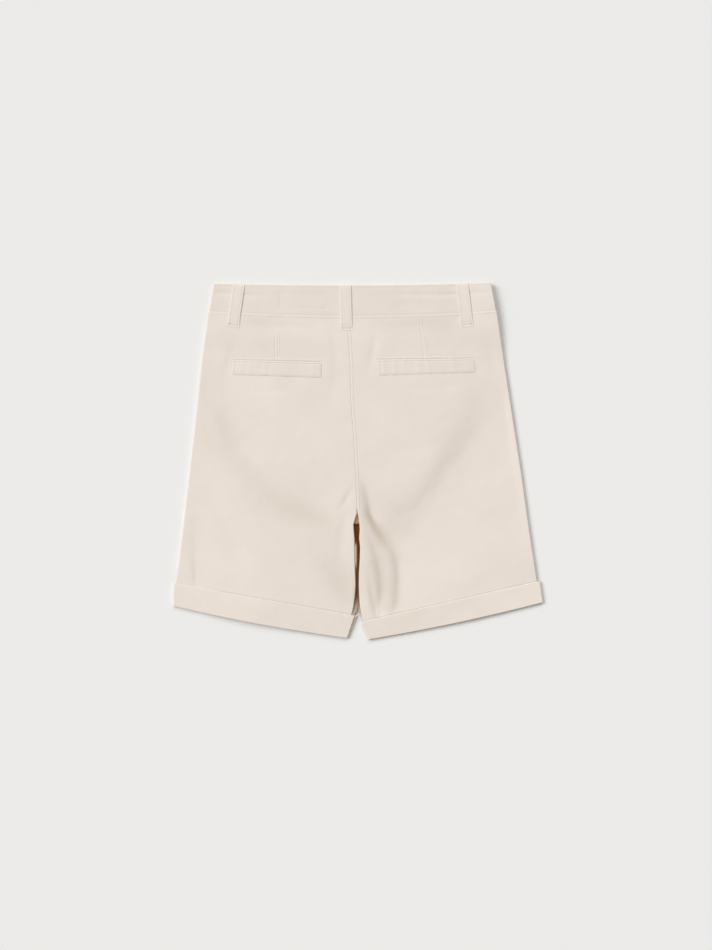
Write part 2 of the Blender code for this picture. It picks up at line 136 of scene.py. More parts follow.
def new_finish(name, inputs):
    """A material, its nodes and its shader, with plain values on the shader's own sockets."""
    made = bpy.data.materials.new(name)
    made.use_nodes = True
    nodes = made.node_tree.nodes
    fill(nodes["Principled BSDF"], inputs)
    return made, nodes, nodes["Principled BSDF"]


def build_twill_weave():
    """Group: the height of the ribs and yarns for bump, and soft masks for dye and slubs."""
    group = bpy.data.node_groups.new("twill weave", "ShaderNodeTree")
    for name, start in (("Rib pitch", TWILL_RIB), ("Rib angle", TWILL_ANGLE)):
        group.interface.new_socket(name, in_out="INPUT", socket_type="NodeSocketFloat").default_value = start
    for name in ("Height", "Dye", "Slubs"):
        group.interface.new_socket(name, in_out="OUTPUT", socket_type="NodeSocketFloat")
    nodes = group.nodes
    given, out = nodes.new("NodeGroupInput").outputs, nodes.new("NodeGroupOutput")
    place = placed(nodes, "TexCoord").outputs["Object"]
    angle = worked(nodes, "RADIANS", given["Rib angle"])
    turned = placed(nodes, "VectorRotate", {"Vector": place, "Angle": angle}, rotation_type="Z_AXIS")
    split = placed(nodes, "SeparateXYZ", {0: turned.outputs["Vector"]}).outputs
    shaken = worked(nodes, "MULTIPLY", noise(nodes, place, 260.0, Detail=2.0), 0.9)
    turns, along_rib = (worked(nodes, "DIVIDE", split[axis], given["Rib pitch"]) for axis in "XY")
    rib = worked(nodes, "SINE", worked(nodes, "MULTIPLY", worked(nodes, "ADD", turns, shaken), 2.0 * pi))
    yarn = worked(nodes, "SINE", worked(nodes, "MULTIPLY", worked(nodes, "ADD", along_rib, turns), 3.6 * pi))
    stretched = placed(nodes, "VectorMath", {0: place, 1: (900.0, 120.0, 500.0)}, operation="MULTIPLY")
    slubs = noise(nodes, stretched.outputs[0], 1.0, Detail=3.0)
    dye = noise(nodes, place, 22.0, Detail=5.0, Roughness=0.62)
    woven = worked(nodes, "ADD", worked(nodes, "MULTIPLY", rib, 0.6), worked(nodes, "MULTIPLY", yarn, 0.25))
    height = worked(nodes, "ADD", woven, worked(nodes, "MULTIPLY", slubs, 1.4))
    fill(out, {"Height": height, "Dye": dye, "Slubs": slubs})
    return group


twill_weave = build_twill_weave()


def painted_gap_shade(nodes, colour):
    """Painted shade: a colour deepened through tan to brown with depth in the gap between the legs, where
    shade falls.
    """
    geometry = placed(nodes, "NewGeometry").outputs
    place = placed(nodes, "SeparateXYZ", {0: geometry["Position"]}).outputs
    facing = placed(nodes, "SeparateXYZ", {0: geometry["Normal"]}).outputs
    off_middle = worked(nodes, "ABSOLUTE", place["X"])
    measures = {"across": off_middle, "along": place["Y"], "facing up": facing["Z"]}
    mask = 1.0
    for limit in PAINTED_SHADE_LIMITS:
        kept = ranged(nodes, measures[limit.measure], limit.starts, limit.full, limit.outside)
        mask = worked(nodes, "MULTIPLY", mask, kept)
    sunk = ranged(nodes, place["Z"], *PAINTED_SHADE_HEIGHTS)
    shades = [shaded(nodes, sunk, stops) for stops in (UPPER_GAP_PAINTED_SHADE, LOWER_GAP_PAINTED_SHADE)]
    depths = mixed(nodes, *shades, ranged(nodes, place["Y"], *PAINTED_SHADE_CHANGE), "MIX")
    return mixed(nodes, colour, depths, mask)


def twill(name, colour, with_painted_gap_shade=False):
    """A twill finish, a shade deeper on its slubs, with painted shade in its creases and in the leg gap when
    asked.
    """
    made, nodes, shader = new_finish(name, {
        "Metallic": 0.0, "Specular IOR Level": 0.22, "Sheen Weight": 0.06, "Sheen Roughness": 0.5})
    weave = placed(nodes, "Group", {"Rib pitch": TWILL_RIB, "Rib angle": TWILL_ANGLE}, node_tree=twill_weave)
    slubs = weave.outputs["Slubs"]
    shown = shaded(nodes, weave.outputs["Dye"], [(at, tinted(colour, *shares)) for at, shares in DYE_DRIFT])
    shown = mixed(nodes, shown, SLUB_SHADE, slubs)
    # Painted shade: the colour darkens along the creases by the attribute laid on the backs.
    painted_shade_layer = placed(nodes, "Attribute", attribute_name="painted_crease_shade")
    shown = mixed(nodes, shown, PAINTED_CREASE_SHADE, painted_shade_layer.outputs["Fac"])
    # Painted shade: tan to brown where shade falls deep in the gap between the legs.
    if with_painted_gap_shade:
        shown = painted_gap_shade(nodes, shown)
    rough = ranged(nodes, slubs, 0.0, 1.0, 0.84, 0.96)
    bump = placed(nodes, "Bump", {"Strength": 0.16, "Distance": 0.00012, "Height": weave.outputs["Height"]})
    fill(shader, {"Base Color": shown, "Roughness": rough, "Normal": bump.outputs["Normal"]})
    return made


# How the plies tint the thread, from the lows to the highs of its noise.
PLY_TINTS = ((0.0, 0.93), (1.0, 1.03))


def thread_finish(name, colour):
    """Spun thread: a slight gloss, and plies that show as a fine bump along each stitch."""
    made, nodes, shader = new_finish(name, {"Specular IOR Level": 0.35, "Sheen Weight": 0.1})
    place = placed(nodes, "TexCoord").outputs["Object"]
    plies = noise(nodes, place, 2600.0)
    shown = shaded(nodes, plies, [(at, tinted(colour, share, share, share)) for at, share in PLY_TINTS])
    rough = ranged(nodes, plies, 0.0, 1.0, 0.6, 0.8)
    bump = placed(nodes, "Bump", {"Strength": 0.3, "Distance": 0.0001, "Height": plies})
    fill(shader, {"Base Color": shown, "Roughness": rough, "Normal": bump.outputs["Normal"]})
    return made


leg_twill = twill("cream twill", CREAM)
# This finish carries painted shade, tan to brown, in the gap between the legs.
twill_with_painted_gap_shade = twill("cream twill, brown in the leg gap", CREAM, with_painted_gap_shade=True)
matching_thread = thread_finish("matching thread", (0.77, 0.685, 0.60))

# The outline of each half: its side edge and its inner edge, from the waist to the hem.
Section = namedtuple("Section", "name side_x side_y inner_x inner_y")
SECTIONS = {
    "left": (
        Section("waist seam", -161.8, 162.6, -12.3, 157.5),
        Section("pocket", -168.4, 117.0, -8.8, 112.0),
        Section("hip", -173.2, 73.0, -7.4, 66.0),
        Section("seat", -177.8, 30.0, -4.2, 20.0),
        Section("rise", -182.3, -8.0, -2.0, -22.0),
        Section("crotch", -185.7, -37.0, -0.8, -56.0),
        Section("thigh", -189.1, -66.0, -1.7, -88.0),
        Section("mid leg", -192.6, -94.0, -1.4, -120.0),
        Section("low leg", -195.2, -115.0, -2.0, -146.0),
        Section("cuff top", -197.2, -131.0, -5.6, -164.0),
        Section("turn-up", -198.0, -154.4, -14.2, -188.0),
    ),
    "right": (
        Section("waist seam", 150.3, 163.0, -12.3, 157.5),
        Section("pocket", 157.3, 117.0, -8.8, 112.0),
        Section("hip", 164.0, 73.0, -7.4, 66.0),
        Section("seat", 170.7, 30.0, -4.2, 20.0),
        Section("rise", 176.6, -8.0, -2.0, -22.0),
        Section("crotch", 180.7, -37.0, -0.8, -56.0),
        Section("thigh", 184.7, -66.0, -0.3, -90.0),
        Section("mid leg", 188.8, -94.0, -0.6, -124.0),
        Section("low leg", 191.9, -113.5, 0.6, -151.0),
        Section("cuff top", 194.0, -128.0, 4.8, -170.0),
        Section("turn-up", 197.9, -149.6, 13.8, -189.4),
    ),
}
CROTCH = 5
LAST = len(SECTIONS["left"]) - 1
WAIST_SEAM = ((-161.8, 162.6), (150.3, 163.0), 5.3)
WAIST_TOP = ((-156.3, 193.0), (143.7, 193.6), 2.2)
CUFFS = {
    "left": ((-199.9, -132.0), (-3.4, -167.0), (-200.5, -156.8), (-11.6, -191.6)),
    "right": ((3.9, -173.6), (197.3, -129.6), (11.3, -193.0), (200.6, -152.7)),
}
CLOTH_WALL = 0.9
MEETING_LEVEL = 2.4
FRONT_LEVEL = 0.05
FRONT_AT_WAIST = 1.2
FRONT_AT_CUFF = 1.9
FRONT_SIDE_ROLL = 2.2
# Over these distances a sheet goes to its height at the waist and at the turn-ups, and its
# folds die out towards the side seams and the waist seam.
WAIST_REACH = 30.0
CUFF_REACH = 26.0
SIDE_HOLD = 9.0
WAIST_HOLD = 8.0
CORNER_HEIGHT = 4.8
CORNER_START = 96.0
CORNER_REACH = (58.0, 84.0)
LEDGE_EDGE = {"left": -0.55, "right": -0.45}
TONGUE_MIDDLE = -1.0
TONGUE_HALF_WIDTH = 8.0
TONGUE_START = -44.0
TONGUE_END = -68.6
TONGUE_LEVEL = 3.3
STRIP_ACROSS = (-7.0, -0.5)
STRIP_ALONG = (-80.0, -128.0)
STRIP_LEVEL = 4.2
STRIP_FALL = 1.8
FLY_LAP = 11.0
FLY_END = 66.0
MOUTH_AT_WAIST = 38.0
MOUTH_END = 2.5
MOUTH_END_INSET = 7.0
UNDER_LAP = 1.1
PANEL_END = 9.4
FLY_STITCHING = ((-34, 157), (-32.5, 128), (-30.5, 104), (-27, 88), (-19, 75), (-8.5, 66))
FLY_SECOND_ROW = (5.5, -0.8)
FRONT_SEAM_STITCHING = ((-9.2, 60), (-6.8, 20), (-4.6, -22), (-3.4, -48))

# Creases: rows of x, y, depth, and how far the trough reaches on its left and on its right
# as the rows run, or one reach for both. A negative depth is a ridge. Higher sharpness has a
# flatter middle.
Fold = namedtuple("Fold", "name sharp rows")
FRONT_FOLDS = (
    Fold("crotch to hip left", 2.0, (
        (-9, -44, 0.0, 6), (-34, -36, 0.7, 8, 7), (-76, -8, 0.9, 12, 9), (-118, 30, 0.6, 14, 10),
        (-150, 62, 0.0, 14, 10))),
    Fold("crotch to thigh left", 1.8, (
        (-8, -60, 0.0, 4, 5), (-22, -86, 0.7, 5, 6), (-30, -120, 0.6, 6, 7), (-30, -152, 0.0, 6))),
    Fold("crotch to hip right", 2.0, (
        (8, -40, 0.0, 6), (38, -22, 0.8, 8), (84, 14, 1.0, 10, 12), (126, 54, 0.5, 11, 13),
        (150, 84, 0.0, 11, 12))),
    Fold("crotch to thigh right", 1.8, (
        (6, -58, 0.0, 5, 4), (24, -92, 0.9, 6, 5), (37, -130, 0.8, 6, 5), (36, -162, 0.0, 6))),
    Fold("short crease by the fly", 1.6, (
        (-16, 38, 0.0, 3), (-44, 28, 0.4, 4, 5), (-80, 34, 0.0, 5, 6))),
    Fold("short crease right of the fly", 1.6, (
        (6, 30, 0.0, 3), (36, 22, 0.4, 5, 4), (70, 30, 0.0, 6, 5))),
    Fold("outer thigh right", 2.0, (
        (150, -20, 0.0, 8), (140, -70, 0.35, 9), (128, -120, 0.0, 9))),
    Fold("centre seam", 2.0, (
        (-6.6, 62, 0.0, 0.7), (-5.5, 45, 0.3, 0.7), (-4.2, 20, 0.3, 0.7), (-2.0, -22, 0.3, 0.7),
        (-0.9, -50, 0.2, 0.7))),
)


def along(table, place):
    """The smooth curve through evenly numbered rows, at places between them."""
    table = np.asarray(table, float)
    place = np.asarray(place, float)
    padded = np.concatenate(([2 * table[0] - table[1]], table, [2 * table[-1] - table[-2]]))
    start = np.clip(place.astype(int), 0, len(table) - 2)
    a, b, c, d = (padded[start + k] for k in range(4))
    t = place - start
    if table.ndim > 1:
        t = t[:, None]
    return 0.5 * (2 * b + (c - a) * t + (2 * a - 5 * b + 4 * c - d) * t**2 + (3 * b - a - 3 * c + d) * t**3)


def smooth_path(points, count=60):
    return along(points, np.linspace(0, len(points) - 1, count))


def ease(t):
    """From 0 to 1 with a soft start and end."""
    t = np.clip(t, 0.0, 1.0)
    return t * t * (3.0 - 2.0 * t)


def hump(distance, width):
    """A soft hump, 1 at its middle."""
    return np.exp(-((distance / width) ** 2))


def rounded(distance, radius):
    """A quarter round over a radius in from an edge."""
    return np.sqrt(1.0 - np.clip(1.0 - distance / radius, 0.0, 1.0) ** 2)


def both_rounded(distance, length, first, last):
    """Quarter rounds in from both ends of a length."""
    return rounded(distance, first) * rounded(length - distance, last)


def beside(line, x, y):
    """For each point: its distance from a line, plus on its left, and its place along it.

    Where several parts of the line are about as near, the place is their soft average.
    """
    run = np.gradient(line[:, :2], axis=0)
    shape, x, y = np.shape(x), np.ravel(x), np.ravel(y)
    off_x, off_y = x[:, None] - line[:, 0], y[:, None] - line[:, 1]
    gap = np.hypot(off_x, off_y)
    k = np.argmin(gap, axis=1)
    pick = np.arange(len(x))
    nearest = gap[pick, k][:, None]
    share = np.exp((nearest - gap) / (0.8 + 0.14 * nearest))
    place = share @ np.arange(len(line)) / share.sum(axis=1)
    off_x, off_y, run = off_x[pick, k], off_y[pick, k], run[k]
    length = np.hypot(run[:, 0], run[:, 1])
    passed = (off_x * run[:, 0] + off_y * run[:, 1]) / length**2
    on = np.clip(passed, -0.5, 0.5)
    across = (run[:, 0] * off_y - run[:, 1] * off_x) / length
    away = np.copysign(np.hypot(across, (passed - on) * length), across)
    return away.reshape(shape), place.reshape(shape)


def relief(x, y, folds):
    """How far a set of folds takes each point down, as a negative height."""
    x, y = np.asarray(x, float), np.asarray(y, float)
    total = np.zeros(x.shape)
    for fold in folds:
        rows = np.array([(*row[:4], row[-1]) for row in fold.rows], float)
        line = along(rows, np.linspace(0, len(rows) - 1, 12 * len(rows)))
        far = 3.0 * line[:, 3:5].max()
        near = (x > line[:, 0].min() - far) & (x < line[:, 0].max() + far)
        near &= (y > line[:, 1].min() - far) & (y < line[:, 1].max() + far)
        if near.any():
            away, place = beside(line, x[near], y[near])
            depth, left, right = (np.interp(place, np.arange(len(line)), line[:, c]) for c in (2, 3, 4))
            total[near] -= depth * np.exp(-((np.abs(away) / np.where(away > 0, left, right)) ** fold.sharp))
    return total


def crumple(x, y, seed, size, height, waves=26):
    """A faint uneven waviness, as pressed cotton keeps."""
    dice = np.random.default_rng(seed)
    total = np.zeros(np.shape(x))
    for _ in range(waves):
        turn, wave, start = dice.uniform(0, pi), size * dice.uniform(0.6, 1.8), dice.uniform(0, 2 * pi)
        total += wave / size * np.sin((x * cos(turn) + y * sin(turn)) * 2 * pi / wave + start)
    return height * total / waves**0.5


def waist_line(edge, x):
    """The height up the page of one of the waist's sagging edges."""
    (left_x, left_y), (right_x, right_y), sag = edge
    t = (x - left_x) / (right_x - left_x)
    return left_y + (right_y - left_y) * t - sag * 4.0 * t * (1.0 - t)


def edges(half, place):
    """The side and inner points of a half, at places along its sections."""
    table = np.array([row[1:] for row in SECTIONS[half]])
    upper = along(table[: CROTCH + 1, 2:], np.minimum(place, CROTCH))
    lower = along(table[CROTCH:, 2:], np.maximum(place - CROTCH, 0.0))
    return along(table[:, :2], place), np.where((place <= CROTCH)[:, None], upper, lower)


SIDES = {half: edges(half, np.linspace(0, LAST, 200))[0][::-1] for half in SECTIONS}


def side_distance(x, y):
    """How far a point lies in from the nearer side of the garment."""
    left = x - np.interp(y, SIDES["left"][:, 1], SIDES["left"][:, 0])
    right = np.interp(y, SIDES["right"][:, 1], SIDES["right"][:, 0]) - x
    return np.minimum(left, right)


def above_cuff(x, y):
    """How far a point lies above the top edge of its turn-up."""
    total = np.zeros(np.shape(x))
    for half, ((x0, y0), (x1, y1), _, _) in CUFFS.items():
        mine = x < 0.0 if half == "left" else x >= 0.0
        total = np.where(mine, y - (y0 + (y1 - y0) * (x - x0) / (x1 - x0)), total)
    return total


def corner_lift(x, y):
    """The wearer's right end of the waist springs up off the floor."""
    across, along_it = (x - CORNER_START) / CORNER_REACH[0], (y - CORNER_START) / CORNER_REACH[1]
    return CORNER_HEIGHT * ease(across) ** 1.3 * ease(along_it)


def levels(x, y, plain, at_waist, at_cuff):
    """A sheet's level: its plain height, and the heights it goes to at the waist and the turn-ups."""
    below_waist = waist_line(WAIST_SEAM, x) - y
    level = plain + (at_waist - plain) * (1.0 - ease(below_waist / WAIST_REACH))
    return level + (at_cuff - plain) * (1.0 - ease(above_cuff(x, y) / CUFF_REACH))


def looseness(x, y):
    """How freely the cloth folds: not at all at the side seams and the waist seam, fully inside."""
    below_waist = waist_line(WAIST_SEAM, x) - y
    return ease(side_distance(x, y) / SIDE_HOLD) * ease((below_waist + 1.0) / WAIST_HOLD)


def front_face(x, y):
    """The height of the fronts' outer face, which looks down at the floor."""
    level = levels(x, y, FRONT_LEVEL, FRONT_AT_WAIST, FRONT_AT_CUFF)
    level -= relief(x, y, FRONT_FOLDS) * looseness(x, y)
    # The crotch seam's allowance rises in the gap as a tongue, and below it the raw edge beside
    # the wearer's left inseam stands up as a narrow strip.
    tongue = ease((TONGUE_HALF_WIDTH - np.abs(x - TONGUE_MIDDLE)) / 5.0) * ease((y - TONGUE_END) / 1.4)
    tongue = tongue * ease((TONGUE_START - y) / 12.0)
    level = level + (TONGUE_LEVEL - CLOTH_WALL - level) * tongue
    strip = ease((x - STRIP_ACROSS[0]) / 3.0) * ease((STRIP_ACROSS[1] - x) / 0.3)
    strip = strip * ease((STRIP_ALONG[0] - y) / 14.0) * ease((y - STRIP_ALONG[1]) / 20.0)
    raised = STRIP_LEVEL - STRIP_FALL * ease((x + 2.9) / 2.6) - CLOTH_WALL
    return level + (raised - level) * strip + 0.5 * corner_lift(x, y)


def as_mesh(name, points, faces, finish):
    """An object from points in millimetres."""
    mesh = bpy.data.meshes.new(name)
    mesh.from_pydata((np.reshape(points, (-1, 3)) * 0.001).tolist(), [], faces)
    mesh.materials.append(finish)
    mesh.shade_smooth()
    piece = bpy.data.objects.new(name, mesh)
    bpy.context.scene.collection.objects.link(piece)
    return piece


def quads(rows, columns, flip):
    """The faces of a grid of points."""
    first = (np.arange(rows - 1)[:, None] * columns + np.arange(columns - 1)).ravel()
    order = [first, first + columns, first + columns + 1, first + 1]
    return np.stack(order[::-1] if flip else order, 1)


def faces_up(points):
    """Whether a grid's faces, taken down its rows, look upwards."""
    a, b = points[-1, 0] - points[0, 0], points[0, -1] - points[0, 0]
    return a[0] * b[1] - a[1] * b[0] > 0


def sheet_piece(name, points, wall, finish, up=True, painted_shade=()):
    """A sheet from a grid of points on its outer face, with its wall behind them."""
    faces = quads(*points.shape[:2], flip=faces_up(points) != up)
    piece = as_mesh(name, points, faces.tolist(), finish)
    # Painted shade along the creases, kept on the points for the finish.
    painted_shade_layer = piece.data.attributes.new("painted_crease_shade", "FLOAT", "POINT")
    painted_shade_layer.data.foreach_set("value", -relief(points[..., 0], points[..., 1], painted_shade).ravel())
    wall_of = piece.modifiers.new("Wall", "SOLIDIFY")
    wall_of.thickness = wall * 0.001
    wall_of.offset = -1.0
    return piece


def sewn(piece, node, with_pieces=()):
    """Attaches a piece of cloth and its extra pieces to the root, and hides the CAD part it stands for."""
    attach(piece, "root")
    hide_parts(node)
    for extra in with_pieces:
        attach(extra, "root")


def stitches(name, paths, face, up=True, pitch=3.0, length=2.3, thick=0.42, sink=0.1):
    """Rows of short rounded lengths of thread along paths over a face, as one piece."""
    starts, ends = [], []
    for path in paths:
        path = np.asarray(path, float)
        run = np.concatenate(([0.0], np.cumsum(np.hypot(*np.diff(path, axis=0).T))))
        count = max(1, int(run[-1] / pitch))
        middle = (np.arange(count) + 0.5) * run[-1] / count
        for store, shift in ((starts, -0.5), (ends, 0.5)):
            at = middle + shift * length
            store.append(np.stack((np.interp(at, run, path[:, 0]), np.interp(at, run, path[:, 1])), 1))
    starts, ends = np.concatenate(starts), np.concatenate(ends)
    out = 1.0 if up else -1.0
    a = np.column_stack((starts, face(*starts.T) + out * (0.5 * thick - sink)))
    b = np.column_stack((ends, face(*ends.T) + out * (0.5 * thick - sink)))
    run = b - a
    run /= np.linalg.norm(run, axis=1)[:, None]
    across = np.cross(run, (0.0, 0.0, out))
    across /= np.linalg.norm(across, axis=1)[:, None]
    over = np.cross(across, run)
    turns = np.arange(6) * pi / 3
    ring = across[:, None] * np.cos(turns)[None, :, None] + over[:, None] * np.sin(turns)[None, :, None]
    stations = ((0.0, 0.35, -0.12), (0.16, 0.9, 0.0), (0.5, 1.0, 0.06), (0.84, 0.9, 0.0), (1.0, 0.35, -0.12))
    points = []
    for share, girth, rise in stations:
        centre = a + (b - a) * share + over * rise * thick
        points.append(centre[:, None] + ring * 0.5 * thick * girth)
    points = np.stack(points, 1)
    one = []
    for k in range(len(stations) - 1):
        for j in range(6):
            one.append((6 * k + j, 6 * k + (j + 1) % 6, 6 * k + 6 + (j + 1) % 6, 6 * k + 6 + j))
    step = 6 * len(stations)
    faces = (np.array(one)[None] + step * np.arange(len(a))[:, None, None]).reshape(-1, 4).tolist()
    tip = np.arange(6)
    faces += (tip[::-1][None] + step * np.arange(len(a))[:, None]).tolist()
    faces += (tip[None] + step - 6 + step * np.arange(len(a))[:, None]).tolist()
    return as_mesh(name, points, faces, matching_thread)


def spread(width, fine, reach, shares):
    """Distances across a width: fine steps at both ends, and shares of what lies between."""
    ends = fine * np.arange(int(reach / fine - 0.01) + 1)
    return np.concatenate((ends, reach + (width - 2 * reach) * shares, width - ends[::-1]))


def mouth_inset(place):
    """How far in from the side the slant pocket's mouth lies."""
    slant = MOUTH_AT_WAIST + (MOUTH_END_INSET - MOUTH_AT_WAIST) * place / MOUTH_END
    return np.where(place < MOUTH_END, slant, MOUTH_END_INSET * (1.0 - ease((place - MOUTH_END) / 0.05)))


def plan_row(half, place, side, inner, steps):
    """Plan points along one row of a half, at steps in from its side, with the waist's sag."""
    (sx, sy), (ix, iy) = side, inner
    width = np.hypot(ix - sx, iy - sy)
    x, y = sx + (ix - sx) * steps / width, sy + (iy - sy) * steps / width
    seam = SECTIONS[half][0]
    chord = seam.side_y + (seam.inner_y - seam.side_y) * (x - seam.side_x) / (seam.inner_x - seam.side_x)
    return x, y - (chord - waist_line(WAIST_SEAM, x)) * (1.0 - ease(place / 1.5))


def rolled_side(x, y, z, steps, radius):
    """A sheet's heights, with its side edge rolled to where the fronts meet the backs."""
    meeting = MEETING_LEVEL + 0.8 * corner_lift(x, y)
    return meeting + (z - meeting) * rounded(steps, radius)


def front_panel(half):
    """A front as a grid of points on its outer face."""
    places = np.concatenate((np.linspace(0.0, MOUTH_END, 58), np.linspace(MOUTH_END + 0.05, PANEL_END, 160)))
    shares = np.linspace(0.0, 1.0, 102)
    grid = []
    for place, side, (ix, iy), start in zip(places, *edges(half, places), mouth_inset(places)):
        if place > CROTCH:
            ix = LEDGE_EDGE[half] + (ix - LEDGE_EDGE[half]) * float(ease((-158.0 - iy) / 14.0))
        lap = FLY_LAP * float(ease((iy - FLY_END) / 40.0)) if half == "left" else 0.0
        width = np.hypot(ix - side[0], iy - side[1])
        steps = start + spread(width + lap - start, 0.4, 3.2, shares)
        x, y = plan_row(half, place, side, (ix, iy), steps)
        z = front_face(x, y)
        if half == "right":
            z += UNDER_LAP * ease((y - FLY_END) / 20.0) * ease((3.0 - x) / 5.0)
        grid.append(np.stack((x, y, rolled_side(x, y, z, steps, FRONT_SIDE_ROLL)), 1))
    return np.array(grid)


def mouth_path(half, inset, last):
    """A path at a steady distance in from a half's pocket mouth."""
    places = np.linspace(0.02, last, 60)
    side, inner = edges(half, places)
    steps = mouth_inset(places) + inset
    path = side + (inner - side) * (steps / np.hypot(*(inner - side).T))[:, None]
    path[:, 1] -= WAIST_SEAM[2] * (1.0 - ease(places / 1.5)) * 0.6
    return path


for half in SECTIONS:
    # The fronts carry the painted shade of the leg gap.
    panel = sheet_piece(f"front_panel_{half}", front_panel(half), CLOTH_WALL, twill_with_painted_gap_shade, up=False)
    rows = [mouth_path(half, 1.6, 2.48), mouth_path(half, 7.6, 2.44)]
    if half == "left":
        fly = smooth_path(FLY_STITCHING)
        rows += [fly, fly + FLY_SECOND_ROW, smooth_path(FRONT_SEAM_STITCHING)]
    sewing = stitches(f"front_stitching_{half}", rows, front_face, up=False)
    sewn(panel, f"front_{half}", [sewing])


# ---------------------------------------------------------------- the slant pockets
# Each front is cut away at the hip on a slant. The pocket's facing, the same twill, fills
# the gap from the side seam and runs on behind the stitched mouth.

FACING_TUCK = 10.0
FACING_DROP = 0.35

for half in SECTIONS:
    grid = []
    places = np.linspace(0.0, MOUTH_END + 0.15, 60)
    for place, side, inner in zip(places, *edges(half, places)):
        slant = float(mouth_inset(min(place, MOUTH_END)))
        steps = spread(slant + FACING_TUCK, 0.4, 2.8, np.linspace(0.0, 1.0, 28))
        x, y = plan_row(half, place, side, inner, steps)
        behind = ease((steps - slant + 3.0) / 3.0)
        z = front_face(x, y) + FACING_DROP + (CLOTH_WALL + 0.1 - FACING_DROP) * behind
        grid.append(np.stack((x, y, rolled_side(x, y, z, steps, FRONT_SIDE_ROLL)), 1))
    facing = sheet_piece(f"pocket_facing_{half}", np.array(grid), CLOTH_WALL, leg_twill, up=False)
    sewn(facing, f"side_pocket_{half}")


# ---------------------------------------------------------------- the backs
# Two back panels of single twill, sewn together down the centre seam and on to the crotch.
# They lie on the fronts, roll over at the side seams and the inseams, and carry drag lines
# from the hips to the crotch, where the laid-out legs pull the seat.

UPPER_LEVEL = 5.7
UPPER_AT_WAIST = 4.85
UPPER_AT_CUFF = 5.3
SIDE_ROLL = 0.8
SIDE_FALL = {"left": 2.6, "right": 1.8}
SIDE_RISE = 95.0
CUFF_CREVICE = {"left": 0.8, "right": 0.72}
UNDER_CUFF_DROP = 1.6
REST_LEVEL = 1.9
FACING_REST = 0.9
# Where the back's inner edge lies along the leg gap, and how broadly it rolls under there.
Inseam = namedtuple("Inseam", "y left_x right_x left_roll right_roll")
INSEAM = (
    Inseam(-56.0, -0.9, -0.7, 0.9, 0.8),
    Inseam(-60.0, -2.2, 0.4, 0.9, 0.8),
    Inseam(-68.5, -4.6, 1.4, 0.9, 0.8),
    Inseam(-74.0, -4.2, 1.7, 1.2, 0.8),
    Inseam(-83.0, -3.4, 1.1, 1.4, 0.8),
    Inseam(-93.0, -3.2, 2.1, 1.4, 0.9),
    Inseam(-105.0, -3.2, 1.8, 1.4, 0.9),
    Inseam(-120.0, -2.6, 0.9, 1.4, 0.9),
    Inseam(-134.0, -2.2, 0.6, 1.2, 0.9),
    Inseam(-146.0, -3.0, 1.0, 1.2, 0.9),
    Inseam(-158.0, -4.6, 2.0, 1.2, 1.0),
    Inseam(-172.0, -8.0, 4.6, 1.2, 1.0),
    Inseam(-190.0, -15.0, 13.6, 1.2, 1.0),
)
